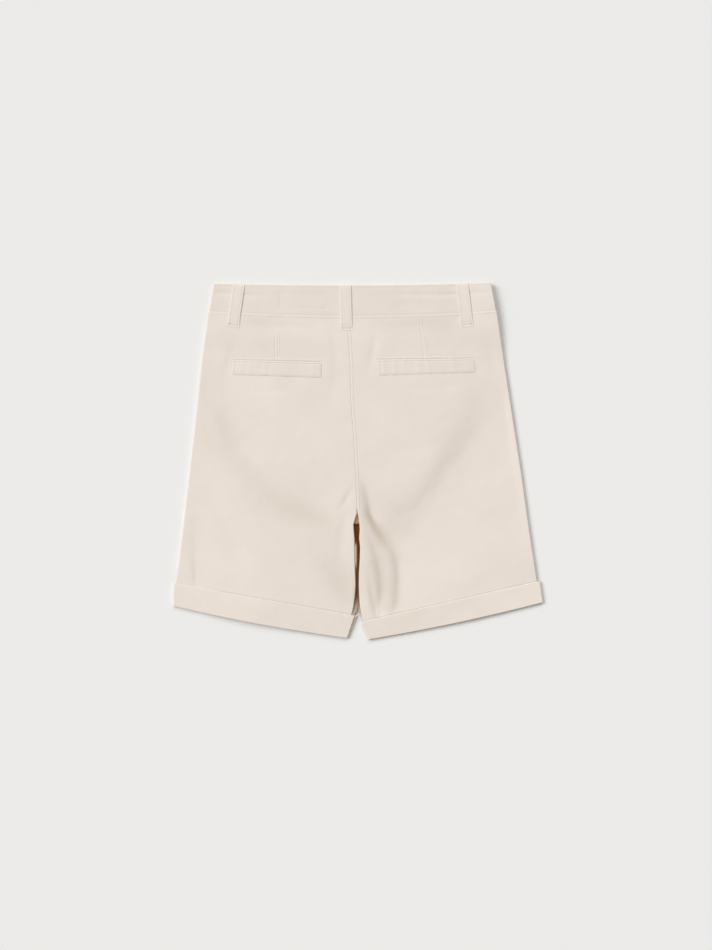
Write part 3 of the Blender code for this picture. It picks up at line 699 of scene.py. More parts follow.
BACK_FOLDS = (
    Fold("hip to crotch right", 2.0, (
        (182, 64, 0.0, 20, 24), (163, 55, 1.2, 30, 27), (141, 39, 2.3, 50, 28), (120, 14, 2.5, 70, 22),
        (100, -11, 2.5, 76, 17), (86, -36, 2.6, 74, 20), (74, -54, 2.5, 66, 24), (54, -76, 2.4, 54, 28),
        (36, -92, 1.2, 40, 22), (22, -102, 0.0, 30, 18))),
    Fold("hip to crotch right, sharp line", 1.3, (
        (106, 12, 0.0, 6, 4), (92, -6, 0.12, 6, 4), (80, -25, 0.14, 6, 3), (69, -41, 0.3, 6, 2.5),
        (61, -52, 0.3, 6, 2.5), (46, -60, 0.15, 7, 4), (36, -66, 0.0, 6, 4))),
    Fold("hip to crotch left", 1.8, (
        (-176, 88, 0.0, 20, 12), (-160, 74, 1.2, 26, 10), (-146, 56, 1.7, 32, 12), (-129, 23, 2.3, 38, 15),
        (-105, -3, 2.3, 38, 17), (-85, -28, 2.3, 36, 20), (-60, -42, 2.3, 32, 20), (-36, -52, 1.7, 26, 16),
        (-20, -62, 0.7, 14, 12), (-10, -72, 0.0, 10, 8))),
    Fold("crotch, long crease right", 1.3, (
        (0, -8, 0.0, 10, 4), (5.5, -22, 0.9, 16, 7), (11, -41, 1.8, 24, 6), (15.5, -60, 2.8, 32, 5),
        (28.5, -84, 2.2, 40, 4.5), (39.5, -99, 1.9, 44, 4.5), (44, -122, 2.4, 46, 4.5),
        (43, -147, 1.9, 46, 5), (38.5, -166, 1.2, 40, 4))),
    Fold("crotch, inner crease right", 1.3, (
        (4, -50, 0.0, 10, 3), (10, -74, 0.9, 16, 3.5), (19, -99, 1.4, 20, 4), (24, -122, 2.0, 22, 5),
        (25, -144, 2.0, 22, 3.5), (23.5, -158, 0.8, 20, 3.5))),
    Fold("crotch, short crease right", 1.3, (
        (11, -110, 0.0, 6, 3), (13, -129, 1.0, 8, 3.5), (15.5, -147, 2.0, 10, 3), (20.5, -168, 1.5, 8, 3))),
    Fold("inner leg left", 2.0, (
        (-60, -74, 0.0, 20, 12), (-44, -93, 0.6, 24, 13), (-28, -112, 1.1, 24, 15), (-14, -132, 1.3, 20, 16),
        (-4, -150, 0.9, 16, 14), (0, -164, 0.0, 12, 10))),
    Fold("crotch, short crease left", 1.4, (
        (-7, -28, 0.0, 3, 2), (-10.5, -36, 0.6, 4, 2), (-15, -44, 0.8, 5, 2), (-24, -57, 0.0, 5, 3))),
    Fold("beside the crotch left", 2.0, (
        (-9, -42, 0.0, 6, 4), (-15, -66, 0.5, 8, 4.5), (-19, -92, 0.5, 8, 5), (-20, -112, 0.0, 8, 6))),
    Fold("side of the leg left", 1.4, (
        (-174, -36, 0.0, 14, 6), (-176, -70, 0.6, 16, 6), (-176, -97, 1.1, 18, 6),
        (-176.5, -117, 1.5, 18, 3), (-174.5, -136, 1.5, 16, 2))),
    Fold("thigh left", 2.0, (
        (-156, -40, 0.0, 9), (-146, -66, 0.3, 9), (-133, -93, 0.35, 9), (-120, -131, 0.0, 9))),
    Fold("below the hip left", 2.0, (
        (-148, 86, 0.0, 7, 6), (-131, 61, 0.3, 8, 6), (-109, 37, 0.25, 8, 6), (-92, 24, 0.0, 8, 6))),
    Fold("seat left", 2.0, (
        (-108, 20, 0.0, 6, 5), (-92, 14, 0.18, 6, 5), (-74, 8, 0.0, 6, 5))),
    Fold("side of the pocket left", 1.7, (
        (-133, 134, 0.0, 5), (-137, 120, 0.25, 7, 5), (-142, 101, 0.3, 8, 6), (-143, 84, 0.3, 7),
        (-140, 66, 0.0, 5, 8))),
    Fold("end of the pocket bag left", 1.7, (
        (-132, 84, 0.0, 3, 4), (-112, 78, 0.22, 3, 5), (-92, 76, 0.22, 3, 5), (-66, 80, 0.0, 3, 5))),
    Fold("inner side of the pocket left", 1.8, (
        (-30, 154, 0.0, 8, 5), (-27, 136, 0.4, 9, 5), (-25, 118, 0.42, 9, 5), (-25, 98, 0.22, 9, 5),
        (-28, 78, 0.35, 8, 5), (-31, 55, 0.0, 8, 6))),
    Fold("under the waistband left", 1.8, (
        (-132, 152, 0.0, 5, 6), (-112, 148, 0.4, 5, 7), (-80, 146, 0.45, 5, 7), (-52, 145, 0.3, 5, 7),
        (-36, 146, 0.0, 5, 6))),
    Fold("under the waistband right", 1.8, (
        (14, 147, 0.0, 5, 6), (40, 147, 0.25, 5, 6), (78, 148, 0.2, 5, 6), (100, 150, 0.0, 5, 6))),
    Fold("inner side of the pocket right", 1.8, (
        (17, 142, 0.0, 4), (18, 130, 0.45, 4), (15, 113, 0.5, 4), (12, 99, 0.0, 4))),
    Fold("seam to seat right", 2.0, (
        (-2, 86, 0.0, 6), (4, 74, 0.25, 6), (16, 56, 0.3, 6), (30, 38, 0.0, 6))),
    Fold("seat right", 2.0, (
        (22, 14, 0.0, 6), (54, 14, 0.2, 6), (86, 18, 0.15, 6), (108, 22, 0.0, 6))),
    Fold("side of the pocket right", 2.0, (
        (137, 146, 0.0, 6), (141, 130, 0.35, 7), (146, 106, 0.35, 7), (148, 88, 0.0, 6))),
    Fold("end of the pocket bag right", 1.7, (
        (30, 82, 0.0, 3, 4), (60, 80, 0.15, 3, 5), (100, 82, 0.15, 3, 5), (126, 88, 0.0, 3, 5))),
)
# Painted shade: where the colour is darkened along the creases, where shade falls. Here the depth is how
# deep, up to 1.
BACK_PAINTED_SHADE = (
    Fold("hip to crotch right", 2.0, (
        (168, 74, 0.0, 14), (145, 65, 0.06, 16), (122, 52, 0.08, 18), (107, 22, 0.1, 12), (90, -4, 0.14, 9),
        (73, -28, 0.1, 11), (62, -44, 0.12, 14), (45, -61, 0.22, 17), (28, -72, 0.14, 14),
        (14, -80, 0.0, 10))),
    Fold("under the hip crease right", 2.0, (
        (158, 54, 0.0, 8), (135, 44, 0.13, 8), (97, -10, 0.1, 7), (76, -46, 0.12, 8), (54, -72, 0.07, 8),
        (40, -84, 0.0, 8))),
    Fold("outside the hip crease left", 2.0, (
        (-172, 54, 0.0, 8), (-166, 38, 0.12, 9), (-160, 10, 0.08, 9), (-150, -12, 0.0, 9))),
    Fold("hip to crotch left", 2.0, (
        (-170, 70, 0.0, 8), (-151, 51, 0.2, 9), (-140, 13, 0.2, 13), (-117, -16, 0.2, 16),
        (-93, -40, 0.28, 16), (-62, -55, 0.42, 15), (-36, -64, 0.34, 11), (-20, -70, 0.0, 8))),
    Fold("inner leg left", 2.0, (
        (-56, -80, 0.0, 14), (-40, -104, 0.12, 14), (-21, -128, 0.32, 17, 14), (-10, -148, 0.32, 13, 12),
        (-6, -164, 0.1, 8))),
    Fold("beside the crotch right", 2.0, (
        (4, -16, 0.0, 5), (6, -32, 0.5, 5), (9, -48, 0.6, 4, 6), (13, -62, 1.0, 3.5, 5),
        (26, -84, 0.66, 8, 7), (37, -98, 0.45, 7), (40, -120, 0.42, 6, 7), (40, -150, 0.36, 6, 7),
        (37, -166, 0.0, 6))),
    Fold("between the creases right", 2.0, (
        (6, -70, 0.0, 6), (16, -96, 0.46, 8), (22, -124, 0.55, 9, 8), (22, -148, 0.5, 9, 8),
        (22, -168, 0.0, 6))),
    Fold("above the pocket left", 3.0, (
        (-134, 126, 0.1, 16, 14), (-92, 124, 0.12, 16, 14), (-50, 122, 0.1, 16, 14))),
    Fold("above the pocket right", 3.0, (
        (30, 130, 0.04, 12), (66, 132, 0.1, 12), (130, 136, 0.1, 12))),
    Fold("under the waistband left", 2.0, (
        (-140, 150, 0.0, 9), (-110, 150, 0.2, 9), (-84, 149, 0.06, 9), (-60, 148, 0.0, 9))),
    Fold("under the waistband right", 2.0, (
        (10, 150, 0.0, 9), (36, 148, 0.16, 10, 9), (66, 149, 0.3, 10, 9), (96, 150, 0.26, 10, 9),
        (112, 152, 0.0, 9))),
)
# Narrow grooves where the back is sewn, and ridges where the depth is negative.
Groove = namedtuple("Groove", "name x0 y0 x1 y1 depth width")
BACK_GROOVES = (
    Groove("dart left", -90.0, 136, -89.8, 112, 0.24, 0.6),
    Groove("dart left topstitch", -86.5, 137, -86.3, 112, 0.2, 0.5),
    Groove("dart right", 67.4, 150, 71.9, 113, 0.22, 0.6),
    Groove("dart right topstitch", 70.0, 151, 75.9, 113, 0.2, 0.5),
    Groove("pocket mouth left", -134.9, 109.9, -39.4, 107.7, 0.5, 0.55),
    Groove("pocket mouth right", 21.4, 110.3, 126.0, 111.7, 0.5, 0.55),
    Groove("pocket lip left", -133.0, 111.6, -40.6, 109.3, -0.16, 0.9),
    Groove("pocket lip right", 22.6, 111.9, 124.8, 113.3, -0.16, 0.9),
    Groove("mouth topstitch left", -134.6, 113.1, -92.0, 111.5, 0.12, 0.5),
    Groove("mouth topstitch right", 22.0, 113.4, 125.4, 114.6, 0.1, 0.5),
    Groove("welt end left", -136.6, 111.0, -138.0, 94.0, 0.22, 0.7),
    Groove("beside the welt left", -140.2, 112.0, -142.2, 96.0, 0.16, 0.9),
)
CENTRE_GROOVE = 0.22
CENTRE_STITCH_IN = 2.7
CENTRE_STITCH_GROOVE = 0.08
INSEAM_LEVEL = 2.2
DART_SHARES = {"left": (0.46, 0.545), "right": (0.455, 0.56)}
DART_STITCHING = {"left": ((-85.5, 140), (-85.4, 113.5)), "right": ((68.8, 155), (70.5, 146), (77.6, 114.5))}
CENTRE_STITCHING = ((-9.6, 156), (-6.1, 112), (-4.7, 66), (-1.5, 20), (0.7, -22), (1.8, -52))


def grooves(x, y, table):
    """How far the sewn grooves take each point down, as a negative height."""
    total = np.zeros(np.shape(x))
    for groove in table:
        run_x, run_y = groove.x1 - groove.x0, groove.y1 - groove.y0
        off_x, off_y = x - groove.x0, y - groove.y0
        share = np.clip((off_x * run_x + off_y * run_y) / (run_x**2 + run_y**2), 0.0, 1.0)
        away = np.hypot(off_x - share * run_x, off_y - share * run_y)
        total -= groove.depth * hump(away, groove.width)
    return total


def by_half(x, table):
    return np.where(x < 0.0, table["left"], table["right"])


def side_fall(x, y):
    """How far the upper side of the garment falls away towards its side seams."""
    return by_half(x, SIDE_FALL) * (1.0 - ease(side_distance(x, y) / SIDE_RISE))


def upper_face(x, y):
    """The height of the upper sheet's outer face."""
    x, y = np.asarray(x, float), np.asarray(y, float)
    below_waist = waist_line(WAIST_SEAM, x) - y
    level = levels(x, y, UPPER_LEVEL, UPPER_AT_WAIST, UPPER_AT_CUFF)
    folded = relief(x, y, BACK_FOLDS) + crumple(x, y, 5, 21.0, 0.042) + crumple(x, y, 6, 9.0, 0.011)
    level += folded * looseness(x, y)
    past_cuff = above_cuff(x, y)
    level -= by_half(x, CUFF_CREVICE) * hump(past_cuff - 0.1, 0.7) + UNDER_CUFF_DROP * ease(-past_cuff / 4.0)
    level -= side_fall(x, y) * (1.0 - 0.5 * (1.0 - ease(below_waist / 50.0)))
    # It never sinks through what it lies on: the fronts, and the pocket facings near the sides.
    rest = REST_LEVEL + FACING_REST * ease((46.0 - side_distance(x, y)) / 26.0) * ease((y - 8.0) / 40.0)
    level = 0.5 * (level + rest + np.sqrt((level - rest) ** 2 + 0.8**2))
    return level + grooves(x, y, BACK_GROOVES) + corner_lift(x, y)


def back_panel(half):
    """A back panel as a grid of points on its outer face, finer at its darts, welts and turn-ups."""
    places = np.unique(np.concatenate((
        np.linspace(0.0, PANEL_END, 205), np.linspace(0.0, 0.3, 14), np.linspace(0.98, 1.2, 22),
        np.linspace(8.9, 9.2, 20))))
    shares = np.unique(np.concatenate((np.linspace(0.0, 1.0, 96), np.linspace(*DART_SHARES[half], 34))))
    column = 1 if half == "left" else 2
    inseam = np.array(INSEAM)[::-1]
    grid = []
    for place, side, (ix, iy) in zip(places, *edges(half, places)):
        roll_in = 1.0
        if place > CROTCH:
            ix, roll_in = (float(np.interp(iy, inseam[:, 0], inseam[:, k])) for k in (column, column + 2))
        width = np.hypot(ix - side[0], iy - side[1])
        steps = spread(width, 0.35, 4.2, shares)
        x, y = plan_row(half, place, side, (ix, iy), steps)
        z = upper_face(x, y)
        from_inner = width - steps
        if place < CROTCH:
            z -= CENTRE_GROOVE * hump(from_inner, 0.55)
            if half == "right":
                z -= CENTRE_STITCH_GROOVE * hump(from_inner - CENTRE_STITCH_IN, 0.5)
        z = rolled_side(x, y, z, steps, SIDE_ROLL)
        rolled_in = INSEAM_LEVEL + (z - INSEAM_LEVEL) * rounded(from_inner, roll_in)
        z = z + float(ease((place - 4.82) / 0.2)) * (rolled_in - z)
        grid.append(np.stack((x, y, z), 1))
    return np.array(grid)


for half in SECTIONS:
    # The backs carry painted shade: tan to brown in the leg gap, and darker along their creases.
    panel = sheet_piece(f"back_panel_{half}", back_panel(half), CLOTH_WALL, twill_with_painted_gap_shade, painted_shade=BACK_PAINTED_SHADE)
    rows = [smooth_path(DART_STITCHING[half], 20)]
    if half == "right":
        rows.append(smooth_path(CENTRE_STITCHING))
    sewing = stitches(f"back_stitching_{half}", rows, upper_face, sink=0.16)
    sewn(panel, f"back_{half}", [sewing])


# ---------------------------------------------------------------- the welt pockets
# A single folded welt fills each back pocket, edge-stitched round three sides. The pocket's
# mouth is the dark line along its top.

WELTS = {
    "left": ((-134.8, 109.8), (-39.6, 107.6), (-136.9, 94.1), (-39.6, 90.8)),
    "right": ((21.6, 110.2), (125.8, 111.6), (22.2, 93.2), (128.0, 96.6)),
}
WELT_LIFT = 0.36
WELT_WALL = 1.4
WELT_STITCH_IN = 1.3
WELT_COLOURS = {"left": (0.826, 0.752, 0.684), "right": (0.834, 0.758, 0.687)}
# Where each welt puckers between its stitches: place along it, width and height.
PUCKERS = {
    "left": ((0.1, 3, 0.16), (0.2, 2.5, 0.12), (0.36, 3, 0.16), (0.62, 7, 0.12), (0.9, 4, 0.16)),
    "right": (
        (0.06, 2.2, 0.2), (0.17, 2.6, 0.24), (0.27, 2, 0.14), (0.42, 3, 0.22), (0.52, 2.5, 0.2),
        (0.77, 2.6, 0.24), (0.93, 2.5, 0.16)),
}


def corners_at(corners, u, v):
    """Plan points inside four corners, across from left to right and down from the top."""
    (ax, ay), (bx, by), (cx, cy), (dx, dy) = corners
    x = (ax + (bx - ax) * u) * (1 - v) + (cx + (dx - cx) * u) * v
    y = (ay + (by - ay) * u) * (1 - v) + (cy + (dy - cy) * u) * v
    return x, y


def slab(name, x, y, outer, under, rounding, finish):
    """A closed piece over a plan grid. Its two faces close up at the border by the rounding."""
    middle = 0.5 * (outer + under)
    over = middle + (outer - middle) * rounding
    below = middle - (middle - under) * rounding
    rows, columns = x.shape
    number = np.arange(rows * columns).reshape(rows, columns)
    lower = number.copy()
    lower[1:-1, 1:-1] = rows * columns + np.arange((rows - 2) * (columns - 2)).reshape(rows - 2, columns - 2)
    points = np.concatenate((
        np.stack((x, y, over), 2).reshape(-1, 3), np.stack((x, y, below), 2)[1:-1, 1:-1].reshape(-1, 3)))
    up = faces_up(np.stack((x, y, over), 2))
    top = quads(rows, columns, flip=not up)
    faces = top.tolist() + lower.ravel()[top[:, ::-1]].tolist()
    return as_mesh(name, points, faces, finish)


def grid_of(width, depth, coarse, fine, reach):
    """Distances across and down a piece, finer near its edges, as two grids."""
    across = spread(width, fine, reach, np.linspace(0.0, 1.0, int((width - 2 * reach) / coarse)))
    down = spread(depth, fine, reach, np.linspace(0.0, 1.0, int((depth - 2 * reach) / coarse)))
    return np.meshgrid(across, down)


def welt_level(half, x, y, u):
    """The height of a welt, which puckers over the back panel it covers."""
    bumps = sum(high * hump((u - at) * 100.0, wide) for at, wide, high in PUCKERS[half])
    return upper_face(x, y) - grooves(x, y, BACK_GROOVES) + WELT_LIFT + bumps


for half, corners in WELTS.items():
    width = corners[1][0] - corners[0][0]
    depth = 0.5 * (corners[0][1] - corners[2][1] + corners[1][1] - corners[3][1])
    across, down = grid_of(width, depth, 1.0, 0.18, 1.6)
    x, y = corners_at(corners, across / width, down / depth)
    outer = welt_level(half, x, y, across / width)
    from_end, from_foot = np.minimum(across, width - across), depth - down
    groove = 0.12 * (hump(from_end - WELT_STITCH_IN, 0.4) + hump(from_foot - WELT_STITCH_IN, 0.4))
    groove += 0.08 * hump(down - 1.6, 0.4)
    outer = outer - groove - 0.45 * (1.0 - ease(down / 3.0)) * ease(from_end / 2.0)
    edge = rounded(np.minimum(from_end, np.minimum(down, from_foot)), 0.4)
    finish = twill(f"twill welt {half}", WELT_COLOURS[half])
    welt = slab(f"welt_strip_{half}", x, y, outer, outer - WELT_WALL, edge, finish)
    u0, v0 = WELT_STITCH_IN / width, WELT_STITCH_IN / depth
    u1, v1 = 1 - u0, 1 - v0
    loop = [corners_at(corners, u, v) for u, v in ((u0, v0), (u0, v1), (u1, v1), (u1, v0))]
    top = [corners_at(corners, u, v0) for u in (u0, u1)]

    def sunk_face(px, py, half=half, left=corners[0][0], right=corners[1][0]):
        return welt_level(half, px, py, (px - left) / (right - left)) - 0.15

    sewing = stitches(f"welt_stitching_{half}", [loop, top], sunk_face, pitch=2.9)
    sewn(welt, f"welt_{half}", [sewing])


# ---------------------------------------------------------------- the waistband
# A straight band of doubled twill, folded along its top, edge-stitched to the legs along its
# bottom and lapped at the centre front. It is sewn in three lengths: the back, and two fronts.

BAND_LEVEL = 5.0
BAND_WALL = 1.7
FRONT_BAND_LEVEL = 0.7
FRONT_BAND_WALL = 1.2
BAND_WIDTH = 306.0
BAND_DEPTH = 31.0
EDGE_STRIP = 2.5
# How far the rows of stitching lie in from the top fold, and over the seam at back and front.
TOP_STITCH_IN = 2.2
SEAM_STITCH_UP = 0.6
FRONT_STITCH_UP = 2.4
BAND_CUT = (0.312, 0.034)
BAND_FOLDS = (
    Fold("roll line left", 1.5, (
        (-158, 183.5, 0.0, 1.5, 2.5), (-152, 183.3, 0.42, 1.5, 2.5), (-138, 182.6, 0.36, 1.5, 3),
        (-118, 181.4, 0.4, 1.5, 3.5), (-104, 180.8, 0.16, 1.5, 3), (-92, 180.6, 0.0, 1.5, 3))),
    Fold("roll line right", 1.5, (
        (10, 181, 0.0, 1.5, 2.5), (36, 181.3, 0.18, 1.5, 2.5), (56, 181.6, 0.36, 1.5, 3),
        (86, 181.2, 0.42, 1.5, 3), (104, 181.4, 0.48, 1.5, 2.5), (122, 182.6, 0.42, 1.5, 2.5),
        (140, 183.6, 0.25, 1.5, 2.5), (147, 184, 0.0, 1.5, 2.5))),
    Fold("bow left of the middle", 2.0, (
        (-100, 188, 0.0, 4), (-60, 186, -0.2, 5), (-30, 187, 0.0, 5))),
    Fold("lower swell right", 2.0, (
        (40, 168, 0.0, 4), (60, 170, 0.18, 5), (84, 169, 0.1, 5), (100, 168, 0.0, 5))),
)
LABEL = ((-84.5, 183.0), (-34.1, 182.2), (-84.5, 167.2), (-34.1, 165.8))


def label_line(x, y):
    """Distance from the four lines of stitching that hold the label inside."""
    (ax, ay), (bx, by), (_, cy), (_, dy) = LABEL
    t = (x - ax) / (bx - ax)
    top, foot = ay + (by - ay) * t, cy + (dy - cy) * t
    inside_x, inside_y = (x > ax - 1) & (x < bx + 1), (y < top + 1) & (y > foot - 1)
    near = np.full(np.shape(x), 9.0)
    lines = ((y - top, inside_x), (y - foot, inside_x), (x - ax, inside_y), (x - bx, inside_y))
    for gap, beside_it in lines:
        near = np.where(beside_it, np.minimum(near, np.abs(gap)), near)
    return near


def band_face(x, y):
    """The height of the back waistband's outer face."""
    x, y = np.asarray(x, float), np.asarray(y, float)
    level = BAND_LEVEL + relief(x, y, BAND_FOLDS)
    level = level + crumple(x, y, 11, 16.0, 0.045) + crumple(x, y, 13, 6.0, 0.014)
    over_seam = y - (waist_line(WAIST_SEAM, x) - EDGE_STRIP)
    level = level - 0.36 * hump(over_seam - EDGE_STRIP - SEAM_STITCH_UP, 0.55)
    level = level + 0.08 * hump(over_seam - 1.4, 0.8)
    level = level - 0.34 * hump(label_line(x, y), 0.5)
    level = level - 0.2 * hump(waist_line(WAIST_TOP, x) - y - TOP_STITCH_IN, 0.5)
    return level + corner_lift(x, y) - 0.5 * side_fall(x, y)


def band_piece(name, first, last, face, wall, roll, up=True):
    """A length of waistband between two shares of its width."""
    width, depth = (last - first) * BAND_WIDTH, BAND_DEPTH + EDGE_STRIP
    across, down = grid_of(width, depth, 1.1, 0.22, 1.6)
    u, v = first + (last - first) * across / width, down / depth
    top_x = WAIST_TOP[0][0] + (WAIST_TOP[1][0] - WAIST_TOP[0][0]) * u
    seam_x = WAIST_SEAM[0][0] + (WAIST_SEAM[1][0] - WAIST_SEAM[0][0]) * u
    x = top_x + (seam_x - top_x) * v
    y = waist_line(WAIST_TOP, top_x) * (1 - v) + (waist_line(WAIST_SEAM, seam_x) - EDGE_STRIP) * v
    outer = face(x, y)
    rounding = both_rounded(across, width, *roll) * both_rounded(down, depth, 0.7, 0.5)
    if up:
        return slab(name, x, y, outer, outer - wall, rounding, band_twill)
    return slab(name, x, y, outer + wall, outer, rounding, band_twill)


def waist_path(edge, offset, first, last):
    x = np.linspace(first, last, 120)
    return np.stack((x, waist_line(edge, x) + offset), 1)


band_twill = twill("twill waistband", tinted(CREAM, 0.985, 0.98, 0.975))
band = band_piece("band_length_back", 0.0, 1.0, band_face, BAND_WALL, (0.9, 1.2))
rows = [waist_path(WAIST_TOP, -TOP_STITCH_IN, -154, 141)]
rows.append(waist_path(WAIST_SEAM, SEAM_STITCH_UP, -160, 148))
rows.append([LABEL[k] for k in (0, 1, 3, 2, 0)])
sewing = stitches("waistband_stitching", rows, band_face, sink=0.3)
sewn(band, "waistband_back", [sewing])


def front_band_face(x, y):
    """The height of the front waistband's outer face, which looks down at the floor."""
    over_seam = y - (waist_line(WAIST_SEAM, x) - EDGE_STRIP)
    level = FRONT_BAND_LEVEL + 0.25 * hump(over_seam - EDGE_STRIP - FRONT_STITCH_UP, 0.55)
    return level + crumple(x, y, 12, 16.0, 0.04) + 0.5 * corner_lift(x, y)


def under_lap_face(x, y):
    """The wearer's right front band, which passes behind the lap at the centre front."""
    return front_band_face(x, y) + (FRONT_BAND_WALL + 0.1) * ease((2.0 - x) / 5.0)


# Each front length: its ends as shares of the width, its face, how its ends roll, and where its
# stitching starts and stops.
FrontBand = namedtuple("FrontBand", "first last face roll stitched")
FRONT_BANDS = {
    "left": FrontBand(0.0, 0.512, front_band_face, (0.9, 0.8), (-159, -3.4)),
    "right": FrontBand(0.416, 1.0, under_lap_face, (0.8, 1.2), (1.5, 148)),
}
LAP_STITCHING = ((-3.6, 157.5), (-3.4, 186.0))
for half, part in FRONT_BANDS.items():
    name = f"band_length_front_{half}"
    band = band_piece(name, part.first, part.last, part.face, FRONT_BAND_WALL, part.roll, up=False)
    start, stop = part.stitched
    rows = [waist_path(WAIST_TOP, -TOP_STITCH_IN, start + 4, stop - 1)]
    rows.append(waist_path(WAIST_SEAM, FRONT_STITCH_UP, start, stop))
    if half == "left":
        rows.append(LAP_STITCHING)
    sewing = stitches(f"waistband_front_stitching_{half}", rows, part.face, up=False, sink=0.1)
    width = (part.last - part.first) * BAND_CUT[0]
    sewn(band, f"waistband_front_{half}", [sewing])


# ---------------------------------------------------------------- the button
# A four-hole resin button under the lap at the centre front, with the thread that holds it
# and the worked buttonhole round it. It stays fastened.

BUTTON_AT = (-14.0, 172.8)
HOLE_RADIUS = 0.9
HOLE_FROM_MIDDLE = 1.6
BUTTONHOLE_BARS = 30
# Radius and height round the button, from its back to its face.
BUTTON_PROFILE = (
    (0.0001, 0.42), (4.3, 0.42), (4.9, 0.22), (5.7, 0.02), (6.5, 0.1), (6.95, 0.5), (7.0, 0.9), (6.6, 1.35),
    (5.4, 1.65), (0.0001, 1.7))


def lathe(name, profile, turns, finish):
    """A closed round piece from a profile of radius and height."""
    points = []
    for radius, height in profile:
        for k in range(turns):
            angle = 2 * pi * k / turns
            points.append((radius * cos(angle), radius * sin(angle), height))
    last = turns * (len(profile) - 1)
    faces = []
    for low in range(0, last, turns):
        for k in range(turns):
            after = (k + 1) % turns
            faces.append((low + k, low + after, low + turns + after, low + turns + k))
    faces += [range(turns)[::-1], range(last, last + turns)]
    return as_mesh(name, points, faces, finish)


def resin(name, colour):
    """Cast resin like pale horn: clouded brown and cream, with a soft gloss and fine scuffs."""
    made, nodes, shader = new_finish(name, {"Coat Weight": 0.3})
    place = placed(nodes, "TexCoord").outputs["Object"]
    cloud, scuffs = noise(nodes, place, 240.0, Distortion=1.6), noise(nodes, place, 1500.0)
    shown = shaded(nodes, cloud, ((0.35, tinted(colour, 0.62, 0.62, 0.62)), (0.65, colour)))
    fill(shader, {"Base Color": shown, "Roughness": ranged(nodes, scuffs, 0.0, 1.0, 0.28, 0.42)})
    return made


horn = resin("horn resin", (0.60, 0.48, 0.35))
button = lathe("front_button", BUTTON_PROFILE[::-1], 48, horn)
holes = [lathe(f"hole {k}", ((HOLE_RADIUS, 3.0), (HOLE_RADIUS, -1.0)), 20, horn) for k in range(4)]
for k, hole in enumerate(holes):
    angle = pi / 4 + k * pi / 2
    hole.location = (HOLE_FROM_MIDDLE * cos(angle) * 0.001, HOLE_FROM_MIDDLE * sin(angle) * 0.001, 0.0)
    cut = button.modifiers.new(f"Hole {k}", "BOOLEAN")
    cut.operation = "DIFFERENCE"
    cut.solver = "EXACT"
    cut.object = hole
bpy.context.view_layer.update()
drilled = bpy.data.meshes.new_from_object(button.evaluated_get(bpy.context.evaluated_depsgraph_get()))
button.modifiers.clear()
button.data = drilled
for hole in holes:
    bpy.data.objects.remove(hole, do_unlink=True)
drilled.shade_smooth()
button.location = (BUTTON_AT[0] * 0.001, BUTTON_AT[1] * 0.001, -0.0001)
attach(button, "root")
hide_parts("button")

button_x, button_y = BUTTON_AT
hold = HOLE_FROM_MIDDLE / 2**0.5
threads = [
    [(button_x - hold - 0.3, button_y + share * hold), (button_x + hold + 0.3, button_y + share * hold)]
    for share in (-1.0, -0.8, 0.8, 1.0)]


def button_back(x, y):
    return np.full(np.shape(x), 0.42)


sewing = stitches("button_thread", threads, button_back, up=False, pitch=2.6, length=2.5, thick=0.5, sink=0.2)
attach(sewing, "root")
bars = []
for k in range(BUTTONHOLE_BARS):
    x = button_x - 10.0 + 20.0 * k / (BUTTONHOLE_BARS - 1)
    for low, high in ((-1.9, -0.25), (0.25, 1.9)):
        bars.append([(x, button_y + low), (x, button_y + high)])
worked_hole = stitches(
    "buttonhole", bars, front_band_face, up=False, pitch=1.6, length=1.7, thick=0.55, sink=0.2)
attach(worked_hole, "root")


# ---------------------------------------------------------------- the belt loops
# Five narrow loops of folded twill with two rows of topstitching. Each is caught in the top
# of the waistband, stands over it, and is tacked to the legs below through a folded end.

Loop = namedtuple("Loop", "name top_x top_y foot_x foot_y width foot_width")
BACK_LOOPS = (
    Loop("left", -129.0, 191.6, -135.6, 145.4, 12.6, 14.4),
    Loop("centre", -13.6, 190.9, -12.3, 141.4, 12.4, 14.0),
    Loop("right", 113.0, 193.1, 118.6, 145.4, 12.8, 14.6),
)
FRONT_LOOPS = (
    Loop("left", -84.0, 189.8, -88.0, 143.0, 12.6, 13.6),
    Loop("right", 62.0, 190.0, 66.0, 143.0, 12.6, 13.6),
)
LOOP_WALL = 1.1
FRONT_LOOP_WALL = 0.95
LOOP_STAND = 0.78
# The two rows of topstitching, as shares across a loop, and how far up its tack is sewn.
LOOP_STITCHES = (0.17, 0.83)
LOOP_TACK_UP = 3.0


def loop_shape(loop, across, down, length):
    """Plan points of a loop, for distances across it and down it."""
    v = down / length
    wide = loop.width + (loop.foot_width - loop.width) * ease((v - 0.72) / 0.28)
    side = (across - 0.5) * wide
    run_x, run_y = (loop.foot_x - loop.top_x) / length, (loop.foot_y - loop.top_y) / length
    return loop.top_x + run_x * down - run_y * side, loop.top_y + run_y * down + run_x * side


def loop_level(down, length, across):
    """Height over what the loop lies on: caught at the top, standing, then tacked down."""
    stand = LOOP_STAND + 0.25 * np.sin(pi * np.clip(down / (length - 6.0), 0.0, 1.0))
    stand = stand - 0.3 * ease((3.0 - down) / 3.0)
    from_foot = length - down
    stand = stand - 0.35 * ease((9.0 - from_foot) / 6.0)
    stand = stand - 0.2 * hump(from_foot - LOOP_TACK_UP, 0.7)
    edge = 0.5 - np.abs(across - 0.5)
    return stand - 0.14 * hump(edge - LOOP_STITCHES[0], 0.035)


def over_band(x, y):
    """The level that the back loops stand on."""
    return BAND_LEVEL + corner_lift(x, y) - 0.5 * side_fall(x, y)


